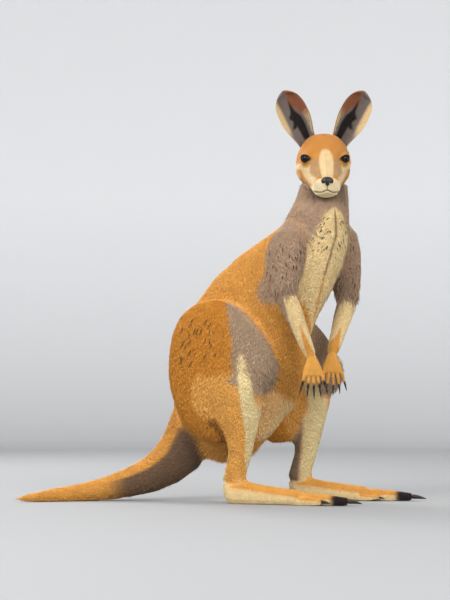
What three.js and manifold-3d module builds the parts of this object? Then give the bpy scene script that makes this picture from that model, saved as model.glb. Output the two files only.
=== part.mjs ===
// A life-size red kangaroo, a young adult, standing upright at rest on its two hind feet and
// its tail, as a museum shows one. The hips and feet face +X, the shoulders are turned to the
// animal's right and the head looks out over its right side.
//
// Millimetres, +Z up, +X the way the feet point, +Y the animal's left. The floor is Z = 0 and
// the origin is the middle of the footprint.
import * as THREE from 'three';
import { mergeVertices } from 'three/addons/utils/BufferGeometryUtils.js';
import Module from 'manifold-3d';

const wasm = await Module();
wasm.setup();

// ---------------------------------------------------------------- driving dimensions

const GAP = 0.4; // clear space between neighbouring solids
const CLAW_GAP = 0.8; // between a toe's end and its claw
const RIGHT = -1; // signs of Y for the two sides
const LEFT = 1;
const SIDES = [RIGHT, LEFT];

const HIND = {
  stance: 106, // each foot's midline from the body's midline
  stagger: 138, // the left foot stands this far ahead of the right one
  heelX: 8, // back of the right heel
  shin: 322, // knee to ankle
  shinLean: 20, // degrees the shin leans forward from the vertical
  ankleHeight: 66,
  kneeOut: 128, // knee from the body's midline
};

const FOOT = { length: 350, width: 56, toeClaw: 42, outerToe: 284, innerToes: 262 };

const HEAD = { length: 250, width: 144, eye: 15 };
const EAR = { length: 166, widest: 41, wall: 5 };
const HAND = { palm: 55, finger: 40, claw: 27 };

const TAIL = { root: 66, tip: 9 }; // half thicknesses

const SHOULDER_TURN = 38; // degrees the shoulders turn to the animal's right
const HEAD_TURN = 74; // degrees the head turns to the animal's right
const HEAD_DROP = 30; // degrees the nose points below the horizontal

const COAT = {
  back: 0xc9843c,
  haunch: 0xb5762c,
  neck: 0xa88b73,
  cream: 0xe3c694,
  dark: 0x1a1513,
  inner: 0x8d7b70,
};

// ---------------------------------------------------------------- solids

/** A closed BufferGeometry as a manifold-3d solid. */
function solid(geometry) {
  const bare = geometry.clone();
  bare.deleteAttribute('normal');
  bare.deleteAttribute('uv');
  const merged = mergeVertices(bare, 1e-3);
  return new wasm.Manifold(new wasm.Mesh({
    numProp: 3,
    vertProperties: merged.attributes.position.array,
    triVerts: new Uint32Array(merged.index.array),
  }));
}

/** A manifold-3d solid as a BufferGeometry. */
function geometryOf(body) {
  const mesh = body.getMesh();
  const positions = new Float32Array(mesh.numVert * 3);
  for (let i = 0; i < mesh.numVert; i++) {
    positions.set(mesh.vertProperties.subarray(i * mesh.numProp, i * mesh.numProp + 3), i * 3);
  }
  const geometry = new THREE.BufferGeometry();
  geometry.setAttribute('position', new THREE.BufferAttribute(positions, 3));
  geometry.setIndex(new THREE.BufferAttribute(mesh.triVerts, 1));
  geometry.computeVertexNormals();
  return geometry;
}

/** One station of a limb: its middle, half width, and half depths behind and in front. */
function ring(x, y, z, wide, back, front = back, turn = 0) {
  return { at: new THREE.Vector3(x, y, z), size: new THREE.Vector3(wide, back, front), turn };
}

/** 0 at a rounded end, 1 past it: the outline of a quarter of an ellipse. */
function roundEnd(distance, cap) {
  return distance >= cap ? 1 : Math.sqrt(Math.max(0, 1 - (1 - distance / cap) ** 2));
}

/**
 * A closed tube through stations, with oval sections and rounded ends. A section's width runs
 * along the animal's left, turned by the station's turn, and "back" is the side that a spine
 * running up from hips to head has behind it. square over 1 makes the sections boxier, grow
 * makes the whole tube fatter by that many millimetres, and flat ends it in two plain discs.
 */
function tube(
  stations,
  { around = 16, along = 14, caps = [0.12, 0.12], square = 1, grow = 0, flat = false } = {},
) {
  const path = (points) => new THREE.CatmullRomCurve3(points, false, 'catmullrom', 0.5);
  const spine = path(stations.map((s) => s.at));
  const sizes = path(stations.map((s) => s.size));
  const turns = path(stations.map((s) => new THREE.Vector3(s.turn, 0, 0)));
  const geometry = new THREE.SphereGeometry(1, around, along);
  const position = geometry.attributes.position;
  const point = new THREE.Vector3();
  for (let i = 0; i < position.count; i++) {
    point.fromBufferAttribute(position, i);
    const row = (Math.acos(THREE.MathUtils.clamp(point.y, -1, 1)) / Math.PI) * along;
    const t = THREE.MathUtils.clamp(flat ? (row - 1) / (along - 2) : (1 - point.y) / 2, 0, 1);
    const angle = Math.atan2(point.z, point.x);
    const centre = spine.getPoint(t);
    const forward = spine.getTangent(t);
    const size = sizes.getPoint(t);
    const turn = THREE.MathUtils.degToRad(turns.getPoint(t).x);
    const side = new THREE.Vector3(Math.sin(turn), Math.cos(turn), 0);
    side.addScaledVector(forward, -side.dot(forward)).normalize();
    const back = new THREE.Vector3().crossVectors(forward, side);
    const pole = row < 0.5 || row > along - 0.5;
    const end = pole ? 0 : roundEnd(t, flat ? 0 : caps[0]) * roundEnd(1 - t, flat ? 0 : caps[1]);
    const c = Math.cos(angle);
    const s = Math.sin(angle);
    const bulge = (Math.abs(c) ** (2 * square) + Math.abs(s) ** (2 * square)) ** (-0.5 / square);
    const depth = s > 0 ? size.y : size.z;
    centre.addScaledVector(side, c * bulge * (size.x + grow) * end);
    centre.addScaledVector(back, s * bulge * (depth + grow) * end);
    centre.addScaledVector(forward, grow * (2 * t - 1) * (1 - end));
    position.setXYZ(i, centre.x, centre.y, centre.z);
  }
  return solid(geometry);
}

/** An ellipsoid at a point, leant forward by some degrees. */
function lump(at, radii, lean = 0, grow = 0, detail = [18, 12]) {
  const geometry = new THREE.SphereGeometry(1, ...detail);
  geometry.scale(radii[0] + grow, radii[1] + grow, radii[2] + grow);
  geometry.rotateY(THREE.MathUtils.degToRad(lean));
  geometry.translate(...at);
  return solid(geometry);
}

/** A box between two corners. */
function block(low, high) {
  const size = high.map((value, i) => value - low[i]);
  const geometry = new THREE.BoxGeometry(...size);
  geometry.translate(...low.map((value, i) => value + size[i] / 2));
  return solid(geometry);
}

const join = (...bodies) => bodies.reduce((all, body) => all.add(body));
const less = (body, cuts) => cuts.reduce((rest, cut) => rest.subtract(cut), body);
const FLOOR = block([-2000, -2000, -500], [2000, 2000, 0]);
const aboveFloor = (body) => body.subtract(FLOOR);

/** The part of a solid on the side of a plane that the normal points to. */
function beyond(body, point, normal, gap = GAP / 2) {
  const n = normal.clone().normalize();
  return body.trimByPlane(n.toArray(), n.dot(point) + gap);
}

/** The largest of the separate pieces of a solid, without slivers a cut may leave. */
function mainPiece(body) {
  return body.decompose().reduce((best, piece) => (piece.volume() > best.volume() ? piece : best));
}

// ---------------------------------------------------------------- hind legs

/** Where the joints of one hind leg are. */
function hindJoints(side) {
  const x = HIND.heelX + (side === LEFT ? HIND.stagger : 0);
  const ankle = new THREE.Vector3(x + 34, side * HIND.stance, HIND.ankleHeight);
  const lean = THREE.MathUtils.degToRad(HIND.shinLean);
  const knee = new THREE.Vector3(
    ankle.x + HIND.shin * Math.sin(lean),
    side * HIND.kneeOut,
    ankle.z + HIND.shin * Math.cos(lean),
  );
  return { heel: x, ankle, knee };
}

/** The haunch: a broad teardrop from the buttock forward to the knee. */
function thigh(side, grow = 0) {
  const { knee } = hindJoints(side);
  const shift = knee.x - 150;
  const station = (x, out, z, wide, up, down) => ring(x + shift, side * out, z, wide, up, down);
  return tube([
    station(-160, 62, 346, 24, 62, 76),
    station(-122, 76, 350, 46, 150, 152),
    station(-66, 88, 356, 57, 200, 194),
    station(-4, 98, 360, 61, 212, 202),
    station(52, 107, 361, 58, 176, 158),
    station(94, 115, 358, 50, 118, 110),
    station(128, 122, 350, 42, 66, 68),
    station(154, HIND.kneeOut, 342, 33, 36, 38),
  ], { around: 16, along: 13, caps: [0.16, 0.13], grow });
}

/** The shin, with the calf behind its upper half. */
function shin(side, grow = 0) {
  const { ankle, knee } = hindJoints(side);
  const at = (share) => new THREE.Vector3().lerpVectors(knee, ankle, share);
  const station = (share, shift, wide, back, front) => {
    const p = at(share);
    return ring(p.x + shift, p.y, p.z, wide, front, back);
  };
  return tube([
    station(0, -36, 26, 50, 26),
    station(0.13, -50, 46, 92, 46),
    station(0.3, -46, 49, 96, 52),
    station(0.52, -26, 38, 64, 40),
    station(0.74, -9, 27, 37, 31),
    station(0.94, -5, 25, 31, 30),
    station(1.09, -4, 24, 31, 28),
  ], { around: 12, along: 11, caps: [0.14, 0.1], grow });
}

/** A foot in its own frame: the heel's back at X = 0, the toes along +X, the sole on Z = 0. */
function footFlesh(side, grow = 0) {
  const half = FOOT.width / 2;
  const body = tube([
    ring(4, 0, 26, 19, 28, 27),
    ring(26, 0, 31, half - 2, 38, 34),
    ring(70, 0, 28, half - 2, 31, 31),
    ring(140, side * 1, 23, half - 3, 25, 26),
    ring(200, side * 2, 20, half + 3, 21, 23),
    ring(244, side * 3, 16, half + 4, 17, 19),
  ], { around: 12, along: 8, caps: [0.1, 0.14], square: 1.35, grow });
  const bigToe = tube([
    ring(214, side * 4, 18, 17, 17, 20),
    ring(262, side * 5, 16, 17, 16, 18),
    ring(306, side * 6, 14, 15.5, 14, 16),
    ring(FOOT.length, side * 6, 13, 10, 9, 11),
  ], { around: 8, along: 6, flat: true, square: 1.2, grow });
  const outerToe = tube([
    ring(200, side * 18, 14, 12, 14, 16),
    ring(244, side * 25, 13, 11, 12, 15),
    ring(FOOT.outerToe, side * 28, 11.5, 7.5, 7.5, 9),
  ], { around: 7, along: 4, flat: true, grow });
  const innerToes = [-18, -27].map((y) => tube([
    ring(206, side * y, 12, 5.5, 9, 12),
    ring(236, side * y, 11, 4.8, 7, 10),
    ring(FOOT.innerToes, side * y, 10.5, 3.6, 4.2, 5),
  ], { around: 6, along: 4, flat: true, grow }));
  return join(body, bigToe, outerToe, ...innerToes);
}

/** A claw: a curved spike from a root point, along a heading in the XY plane, drooping. */
function claw({ root, length, thick, heading = 0, droop = 0.3 }) {
  const a = THREE.MathUtils.degToRad(heading);
  const at = (share) => [
    root[0] + Math.cos(a) * length * share,
    root[1] + Math.sin(a) * length * share,
    root[2] - droop * length * share ** 2,
  ];
  const stations = [0, 0.35, 0.7, 1].map((share) => {
    const half = thick * (1 - 0.86 * share ** 1.5);
    return ring(...at(share), half * 0.8, half, half);
  });
  return tube(stations, { around: 6, along: 4, flat: true });
}

/** The four claws of a foot, in the foot's frame. */
function footClaws(side) {
  return {
    fourth: { root: [FOOT.length + CLAW_GAP, side * 6, 13], length: FOOT.toeClaw, thick: 8.5, droop: 0.15 },
    fifth: { root: [FOOT.outerToe + CLAW_GAP, side * 28, 11.5], length: 26, thick: 6.5, droop: 0.18 },
    second: { root: [FOOT.innerToes + CLAW_GAP, side * -27, 10.5], length: 16, thick: 3.4, droop: 0.25 },
    third: { root: [FOOT.innerToes + CLAW_GAP, side * -18, 10.5], length: 16, thick: 3.4, droop: 0.25 },
  };
}

// ---------------------------------------------------------------- trunk, neck and tail

/** The trunk, from the low belly up to the shoulders, which are turned. */
function trunkFlesh(grow = 0) {
  const turned = SHOULDER_TURN;
  return tube([
    ring(46, 0, 118, 38, 60, 62),
    ring(24, 0, 166, 70, 108, 124),
    ring(6, 0, 232, 86, 150, 178),
    ring(4, 0, 310, 95, 182, 206),
    ring(14, 0, 385, 100, 186, 214, turned * 0.08),
    ring(46, 0, 460, 101, 184, 200, turned * 0.22),
    ring(94, 0, 535, 99, 178, 172, turned * 0.42),
    ring(150, 0, 605, 98, 162, 146, turned * 0.66),
    ring(206, 4, 672, 100, 136, 126, turned * 0.86),
    ring(246, 8, 738, 98, 110, 102, turned),
    ring(264, 8, 806, 82, 86, 82, turned * 1.05),
  ], { around: 18, along: 16, caps: [0.1, 0.05], grow });
}

function neckFlesh(grow = 0) {
  return tube([
    ring(246, 8, 738, 96, 108, 100, SHOULDER_TURN),
    ring(263, 8, 802, 82, 88, 84, SHOULDER_TURN * 1.1),
    ring(271, 6, 862, 70, 76, 72, SHOULDER_TURN * 1.3),
    ring(272, 6, 918, 62, 66, 62, SHOULDER_TURN * 1.5),
    ring(270, 6, 960, 52, 52, 48, HEAD_TURN),
  ], { around: 14, along: 8, caps: [0.1, 0.14], grow });
}

/** The tail's middle line: down from the rump, then back along the floor. */
const TAIL_LINE = [
  ring(-70, 0, 330, TAIL.root, TAIL.root * 1.1),
  ring(-98, 0, 232, TAIL.root, TAIL.root * 1.12),
  ring(-138, -6, 144, 60, 70),
  ring(-210, -24, 80, 49, 54),
  ring(-304, -60, 44, 37, 38),
  ring(-396, -108, 25, 26, 26),
  ring(-484, -160, 16.5, 18, 18),
  ring(-566, -210, 8, TAIL.tip, TAIL.tip),
];

function tailFlesh(grow = 0) {
  return tube(TAIL_LINE, { around: 12, along: 19, caps: [0.06, 0.05], grow });
}

// ---------------------------------------------------------------- fore legs

/** Where the joints of one fore leg are. */
function foreJoints(side) {
  return side === RIGHT
    ? {
      shoulder: new THREE.Vector3(186, -92, 706),
      elbow: new THREE.Vector3(190, -136, 578),
      wrist: new THREE.Vector3(262, -120, 398),
    }
    : {
      shoulder: new THREE.Vector3(306, 84, 722),
      elbow: new THREE.Vector3(322, 96, 568),
      wrist: new THREE.Vector3(296, -12, 408),
    };
}

function upperArm(side, grow = 0) {
  const { shoulder, elbow } = foreJoints(side);
  const at = (share) => new THREE.Vector3().lerpVectors(shoulder, elbow, share);
  const station = (share, wide, deep) => ring(...at(share).toArray(), wide, deep, deep, SHOULDER_TURN);
  return tube([
    station(-0.5, 28, 36),
    station(-0.1, 43, 62),
    station(0.34, 42, 62),
    station(0.74, 34, 48),
    station(1.0, 28, 34),
    station(1.14, 22, 25),
  ], { around: 12, along: 8, caps: [0.16, 0.14], grow });
}

function forearm(side, grow = 0) {
  const { elbow, wrist } = foreJoints(side);
  const at = (share) => new THREE.Vector3().lerpVectors(elbow, wrist, share);
  const station = (share, wide, deep) => ring(...at(share).toArray(), wide, deep, deep, SHOULDER_TURN);
  return tube([
    station(-0.08, 21, 26),
    station(0.12, 27, 32),
    station(0.45, 23, 26),
    station(0.8, 18, 19.5),
    station(1.04, 17, 17),
  ], { around: 10, along: 7, caps: [0.14, 0.1], grow });
}

/** A hand in its own frame: the wrist at the origin, the fingers along +X, its back up. */
function handFlesh(grow = 0) {
  const palm = tube([
    ring(-8, 0, 0, 17, 15, 14),
    ring(14, 0, 0, 23, 15, 14),
    ring(38, 0, 0, 28, 14, 13),
    ring(HAND.palm + 6, 0, 0, 26, 10, 10),
  ], { around: 10, along: 5, caps: [0.14, 0.2], square: 1.2, grow });
  const fingers = fingerAngles().map(({ heading, spread, reach }) => {
    const a = THREE.MathUtils.degToRad(heading);
    const at = (distance) => [
      HAND.palm * reach - 10 + Math.cos(a) * distance,
      spread + Math.sin(a) * distance,
      0,
    ];
    return tube([
      ring(...at(0), 7.4, 8, 8),
      ring(...at(HAND.finger * 0.5), 7, 7.4, 7.4),
      ring(...at(HAND.finger), 5.2, 5.6, 5.6),
    ], { around: 6, along: 4, flat: true, grow });
  });
  return join(palm, ...fingers);
}

/** The five fingers: where each leaves the palm, and the way it points. */
function fingerAngles() {
  return [-2, -1, 0, 1, 2].map((place) => ({
    heading: place * 8,
    spread: place * 10.6,
    reach: 1 - 0.045 * place ** 2,
  }));
}

/** The claw on each finger, in the hand's frame. */
function handClaws() {
  return fingerAngles().map(({ heading, spread, reach }) => {
    const a = THREE.MathUtils.degToRad(heading);
    const start = HAND.finger + CLAW_GAP;
    const root = [
      HAND.palm * reach - 10 + Math.cos(a) * start,
      spread + Math.sin(a) * start,
      0,
    ];
    return { root, length: HAND.claw, thick: 5, heading, droop: 0.28 };
  });
}

// ---------------------------------------------------------------- head

/** The head in its own frame: +X to the nose, +Y its left, the eyes just above Z = 0. */
function headFlesh(grow = 0) {
  const { length, width } = HEAD;
  // Each section runs between a top and a bottom height, is as wide as its share says, and is
  // widest at a middle height.
  const section = (along, share, top, bottom, middle) => (
    ring(along * length, 0, middle, share * width / 2, top - middle, middle - bottom)
  );
  return tube([
    section(-0.35, 0.52, 24, -46, -16),
    section(-0.29, 0.84, 52, -66, -19),
    section(-0.18, 0.98, 68, -81, -23),
    section(-0.06, 1.05, 65, -87, -27),
    section(0.07, 0.97, 52, -84, -29),
    section(0.19, 0.77, 38, -78, -29),
    section(0.32, 0.6, 24, -72, -28),
    section(0.45, 0.53, 12, -67, -27),
    section(0.55, 0.43, 2, -57, -27),
  ], { around: 18, along: 16, caps: [0.12, 0.12], square: 1.22, grow });
}

/** One eyeball in the head's frame. */
function eyeBall(side, grow = 0) {
  const at = [HEAD.length * 0.105, side * HEAD.width * 0.355, 15];
  return lump(at, [HEAD.eye, HEAD.eye, HEAD.eye], 0, grow, [10, 8]);
}

/** The bare nose pad on the front of the muzzle. */
function nosePad(grow = 0) {
  return lump([HEAD.length * 0.5, 0, -12], [16, 20, 15], 24, grow, [10, 8]);
}

/** Half the width of an ear's leaf at a share of its length: narrow base, round-pointed tip. */
function earHalf(up) {
  const widestAt = 0.55;
  const share = up < widestAt
    ? 0.5 + 0.5 * THREE.MathUtils.smoothstep(up, 0, widestAt)
    : (1 - ((up - widestAt) / (1 - widestAt)) ** 3) ** 0.45;
  return EAR.widest * Math.max(share, 0.05);
}

/** An ear in its own frame: its base at the origin, its tip along +Z, its hollow facing +X. */
function earFlesh() {
  const geometry = new THREE.BoxGeometry(1, 2, 1, 1, 6, 8);
  const position = geometry.attributes.position;
  for (let i = 0; i < position.count; i++) {
    const outer = position.getX(i) < 0;
    const across = position.getY(i);
    const up = position.getZ(i) + 0.5;
    // A section is an arc: nearly a closed tube at the base, ever flatter towards the tip.
    const open = THREE.MathUtils.degToRad(THREE.MathUtils.lerp(118, 56, up ** 0.6));
    const radius = earHalf(up) / Math.sin(Math.min(open, Math.PI / 2));
    const wall = outer ? EAR.wall * (1 - 0.6 * Math.abs(across) ** 4) * (1 - 0.4 * up) : 0;
    const back = -12 - 9 * Math.sin(Math.PI * up) + 4 * up;
    const angle = across * open;
    position.setXYZ(
      i,
      back + radius - (radius + wall) * Math.cos(angle),
      (radius + wall) * Math.sin(angle),
      up * (EAR.length + (outer ? 1.5 : 0)),
    );
  }
  return solid(geometry);
}

// ---------------------------------------------------------------- placing the parts

/** The matrix that puts a frame at a point, turned about Z, then pitched nose down, then rolled. */
function frameAt(position, { turn = 0, pitch = 0, roll = 0 } = {}) {
  const angles = [roll, pitch, turn].map((degrees) => THREE.MathUtils.degToRad(degrees));
  return new THREE.Matrix4()
    .makeRotationFromEuler(new THREE.Euler(...angles, 'ZYX'))
    .setPosition(position);
}

/** A solid moved by a matrix. */
const moved = (body, matrix) => solid(geometryOf(body).applyMatrix4(matrix));

const HEAD_FRAME = frameAt(new THREE.Vector3(277, -14, 956), { turn: -HEAD_TURN, pitch: HEAD_DROP });

function footFrame(side) {
  return frameAt(new THREE.Vector3(hindJoints(side).heel, side * HIND.stance, 0), { turn: side * 2 });
}

function handFrame(side) {
  return side === RIGHT
    ? frameAt(foreJoints(side).wrist, { turn: -62, pitch: 76, roll: 4 })
    : frameAt(foreJoints(side).wrist, { turn: -70, pitch: 72, roll: -8 });
}

function earFrame(side) {
  const root = new THREE.Vector3(-HEAD.length * 0.23, side * 42, 28);
  return frameAt(root, { turn: side * 6, pitch: -12, roll: -side * 28 });
}

const part = new THREE.Group();

/** Adds one named mesh to the model. */
function add(name, body, color, { roughness = 0.9, metalness = 0 } = {}) {
  const material = new THREE.MeshStandardMaterial({ color, roughness, metalness });
  const mesh = new THREE.Mesh(geometryOf(mainPiece(body)), material);
  mesh.name = name;
  part.add(mesh);
  return mesh;
}

const sideName = (side) => (side === RIGHT ? 'right' : 'left');

function buildHead() {
  let skull = headFlesh().subtract(nosePad(GAP));
  for (const side of SIDES) {
    skull = skull.subtract(eyeBall(side, GAP));
    const ear = moved(earFlesh(), earFrame(side)).subtract(headFlesh(GAP));
    add(`eye_${sideName(side)}`, moved(eyeBall(side), HEAD_FRAME), COAT.dark, { roughness: 0.1 });
    add(`ear_${sideName(side)}`, moved(ear, HEAD_FRAME), COAT.inner);
  }
  add('head', moved(skull, HEAD_FRAME), COAT.back);
  add('nose', moved(nosePad(), HEAD_FRAME), COAT.dark, { roughness: 0.5 });
}

// The neck leaves the trunk at a plane across the shoulders.
const NECK_ROOT = new THREE.Vector3(255, 8, 772);
const NECK_AXIS = new THREE.Vector3(0.24, 0, 1);

function buildBody() {
  const limbs = SIDES.flatMap((side) => [thigh, shin, upperArm, forearm].map((limb) => limb(side, GAP)));
  const arms = SIDES.map((side) => upperArm(side, GAP));
  const trunk = beyond(trunkFlesh(), NECK_ROOT, NECK_AXIS.clone().negate());
  const neck = beyond(neckFlesh(), NECK_ROOT, NECK_AXIS).subtract(moved(headFlesh(GAP), HEAD_FRAME));
  add('trunk', aboveFloor(less(trunk, limbs)), COAT.back);
  add('neck', less(neck, arms), COAT.neck);
}

// Where the tail is cut across, from the rump to the tip.
const TAIL_CUTS = [120, -190, -350, -480, -700];
const TAIL_REACH = 700;

function buildTail() {
  const neighbours = [trunkFlesh(GAP), thigh(RIGHT, GAP), thigh(LEFT, GAP)];
  const whole = less(aboveFloor(tailFlesh()), neighbours);
  for (let i = 1; i < TAIL_CUTS.length; i++) {
    const length = block(
      [TAIL_CUTS[i] + GAP / 2, -TAIL_REACH, 0],
      [TAIL_CUTS[i - 1] - GAP / 2, TAIL_REACH, TAIL_REACH],
    );
    add(`tail_${i}`, whole.intersect(length), COAT.back);
  }
}

function buildHindLeg(side) {
  const name = sideName(side);
  const frame = footFrame(side);
  const foot = moved(footFlesh(side), frame);
  add(`thigh_${name}`, thigh(side).subtract(shin(side, GAP)), COAT.haunch);
  add(`shin_${name}`, shin(side).subtract(moved(footFlesh(side, GAP), frame)), COAT.cream);
  add(`foot_${name}`, aboveFloor(foot), COAT.back);
  for (const [toe, size] of Object.entries(footClaws(side))) {
    add(`claw_foot_${name}_${toe}`, aboveFloor(moved(claw(size), frame)), COAT.dark, { roughness: 0.4 });
  }
}

function buildForeLeg(side) {
  const name = sideName(side);
  const frame = handFrame(side);
  add(`upper_arm_${name}`, upperArm(side).subtract(forearm(side, GAP)), COAT.neck);
  add(`forearm_${name}`, forearm(side).subtract(moved(handFlesh(GAP), frame)), COAT.cream);
  add(`hand_${name}`, moved(handFlesh(), frame), COAT.back);
  handClaws().forEach((size, i) => {
    add(`claw_hand_${name}_${i + 1}`, moved(claw(size), frame), COAT.dark, { roughness: 0.4 });
  });
}

buildHead();
buildBody();
buildTail();
SIDES.forEach(buildHindLeg);
SIDES.forEach(buildForeLeg);

// The origin goes to the middle of the footprint.
part.updateMatrixWorld(true);
const bounds = new THREE.Box3().setFromObject(part);
part.position.set(-(bounds.min.x + bounds.max.x) / 2, -(bounds.min.y + bounds.max.y) / 2, 0);

export default part;
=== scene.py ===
"""Dresses a life-size standing kangaroo: one skin, a coat of solid tufts, wet eyes, nose pad and horn claws."""

from __future__ import annotations

import logging
import math
import sys
import time
from dataclasses import dataclass, field
from enum import Enum

import bmesh
import bpy
import numpy as np
from mathutils import Euler, Matrix, Vector
from mathutils.bvhtree import BVHTree


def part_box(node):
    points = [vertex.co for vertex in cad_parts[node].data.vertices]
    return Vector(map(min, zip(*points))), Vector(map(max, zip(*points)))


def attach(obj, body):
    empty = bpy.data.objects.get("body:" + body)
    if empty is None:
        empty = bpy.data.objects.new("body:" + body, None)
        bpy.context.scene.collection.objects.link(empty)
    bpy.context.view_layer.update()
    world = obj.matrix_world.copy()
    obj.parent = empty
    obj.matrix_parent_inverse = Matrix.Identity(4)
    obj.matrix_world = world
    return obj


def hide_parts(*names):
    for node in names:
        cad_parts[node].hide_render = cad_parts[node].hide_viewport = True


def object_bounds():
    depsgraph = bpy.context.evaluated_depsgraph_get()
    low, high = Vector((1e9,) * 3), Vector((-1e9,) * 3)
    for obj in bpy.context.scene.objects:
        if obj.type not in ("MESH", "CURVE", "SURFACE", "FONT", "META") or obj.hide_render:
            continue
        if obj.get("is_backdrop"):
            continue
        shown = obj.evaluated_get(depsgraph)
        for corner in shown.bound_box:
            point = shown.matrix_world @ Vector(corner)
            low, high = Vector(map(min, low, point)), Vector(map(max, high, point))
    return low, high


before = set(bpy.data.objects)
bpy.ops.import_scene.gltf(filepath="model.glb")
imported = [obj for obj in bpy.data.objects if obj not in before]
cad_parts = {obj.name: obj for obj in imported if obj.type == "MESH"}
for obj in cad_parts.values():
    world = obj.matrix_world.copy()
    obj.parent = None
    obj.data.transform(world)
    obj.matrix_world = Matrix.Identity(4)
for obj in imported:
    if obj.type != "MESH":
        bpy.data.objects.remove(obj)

LOG = logging.getLogger("kangaroo")
MM = 0.001
BODY = "root"
COLOUR = "Coat"  # the colour attribute that skin and tufts share
LIE = "Lie"  # the attribute that holds a place stretched along the lie of the coat
UNWRAP = "OFBake"
UP = np.array([0.0, 0.0, 1.0])


class Side(Enum):
    """A side of the animal, by the sign of its own sideways axis."""

    RIGHT = -1
    LEFT = 1

    @property
    def label(self) -> str:
        """The word that ends a node's name."""
        return self.name.lower()


# ---------------------------------------------------------------- small helpers


def linear(code: str) -> np.ndarray:
    """Turns an sRGB hex value to linear light.

    Args:
        code: a colour such as "#D09542".

    Returns:
        Its red, green and blue in linear light.
    """
    values = np.array([int(code[i : i + 2], 16) for i in (1, 3, 5)]) / 255
    return np.where(values <= 0.04045, values / 12.92, ((values + 0.055) / 1.055) ** 2.4)


def ramp(value: np.ndarray, start: float, end: float) -> np.ndarray:
    """Rises smoothly from 0 at start to 1 at end, and falls where end is the smaller."""
    share = np.clip((value - start) / (end - start), 0, 1)
    return share * share * (3 - 2 * share)


def unit(vectors: np.ndarray) -> np.ndarray:
    """Scales each row to a length of one."""
    return vectors / np.maximum(np.linalg.norm(vectors, axis=-1, keepdims=True), 1e-9)


def rows_dot(a: np.ndarray, b: np.ndarray) -> np.ndarray:
    """The dot product of each row of a with the same row of b."""
    return np.einsum("ij,ij->i", a, b)


def along_surface(vectors: np.ndarray, normals: np.ndarray) -> np.ndarray:
    """Lays each vector flat on the surface and scales it to a length of one."""
    return unit(vectors - rows_dot(vectors, normals)[:, None] * normals)


def middle(*nodes: str) -> np.ndarray:
    """The middle of the box that holds the named nodes."""
    corners = np.array([list(corner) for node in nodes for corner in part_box(node)])
    return (corners.min(0) + corners.max(0)) / 2


def inside(outline: list[tuple[float, float]], across: np.ndarray, up: np.ndarray, soft: float) -> np.ndarray:
    """Says how far each point is within a flat outline.

    Args:
        outline: the outline's corners, in order.
        across: the points' first coordinate.
        up: the points' second coordinate.
        soft: the width over which the edge fades.

    Returns:
        1 well inside, 0 well outside.
    """
    corners = np.array(outline)
    within = np.zeros(across.shape, bool)
    nearest = np.full(across.shape, 1e9)
    for (x0, y0), (x1, y1) in zip(corners, np.roll(corners, -1, axis=0)):
        run = max((x1 - x0) ** 2 + (y1 - y0) ** 2, 1e-12)
        share = np.clip(((across - x0) * (x1 - x0) + (up - y0) * (y1 - y0)) / run, 0, 1)
        gap = np.hypot(across - x0 - share * (x1 - x0), up - y0 - share * (y1 - y0))
        nearest = np.minimum(nearest, gap)
        if y0 != y1:
            crosses = (y0 > up) != (y1 > up)
            within ^= crosses & (across < x0 + (up - y0) * (x1 - x0) / (y1 - y0))
    return ramp(np.where(within, nearest, -nearest), -soft / 2, soft / 2)


def read(data: bpy.types.bpy_prop_collection, name: str, width: int, kind: type = np.float64) -> np.ndarray:
    """Reads one property of every item of a Blender collection as an array of rows."""
    values = np.empty(len(data) * width, kind)
    data.foreach_get(name, values)
    return values.reshape(-1, width) if width > 1 else values


def place(mesh: bpy.types.Mesh, points: np.ndarray) -> None:
    """Moves a mesh's vertices to the given points."""
    mesh.vertices.foreach_set("co", points.ravel())
    mesh.update()


def put_colour(mesh: bpy.types.Mesh, colours: np.ndarray) -> None:
    """Stores linear colours on a mesh's vertices."""
    attribute = mesh.attributes.new(COLOUR, "FLOAT_COLOR", "POINT")
    rgba = np.column_stack([np.clip(colours, 0, 1), np.ones(len(colours))])
    attribute.data.foreach_set("color", rgba.astype(np.float32).ravel())


def shown(name: str, mesh: bpy.types.Mesh, material: bpy.types.Material) -> bpy.types.Object:
    """Makes a shown object of a finished mesh.

    Args:
        name: the piece's name.
        mesh: its mesh, in the row frame.
        material: its finish.

    Returns:
        The new object, riding on the body.
    """
    mesh.materials.clear()
    mesh.materials.append(material)
    piece = bpy.data.objects.new(name, mesh)
    bpy.context.scene.collection.objects.link(piece)
    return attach(piece, BODY)


def applied(piece: bpy.types.Object) -> bpy.types.Mesh:
    """Returns a new mesh of an object with its modifiers applied, and removes the object."""
    depsgraph = bpy.context.evaluated_depsgraph_get()
    depsgraph.update()
    mesh = bpy.data.meshes.new_from_object(piece.evaluated_get(depsgraph))
    bpy.data.objects.remove(piece)
    return mesh


def loose_object(name: str, mesh: bpy.types.Mesh) -> bpy.types.Object:
    """Links a mesh as a working object."""
    piece = bpy.data.objects.new(name, mesh)
    bpy.context.scene.collection.objects.link(piece)
    return piece


def merged_copy(node: str) -> bmesh.types.BMesh:
    """Copies a node's mesh with its doubled vertices merged."""
    copy = bmesh.new()
    copy.from_mesh(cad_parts[node].data)
    bmesh.ops.remove_doubles(copy, verts=copy.verts, dist=0.01 * MM)
    return copy


def end_of(node: str, way: np.ndarray, share: float = 0.08) -> np.ndarray:
    """The middle of a node's furthest points along a direction."""
    points = read(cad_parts[node].data.vertices, "co", 3)
    along = points @ way
    return points[along > along.max() - share * np.ptp(along)].mean(axis=0)


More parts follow.
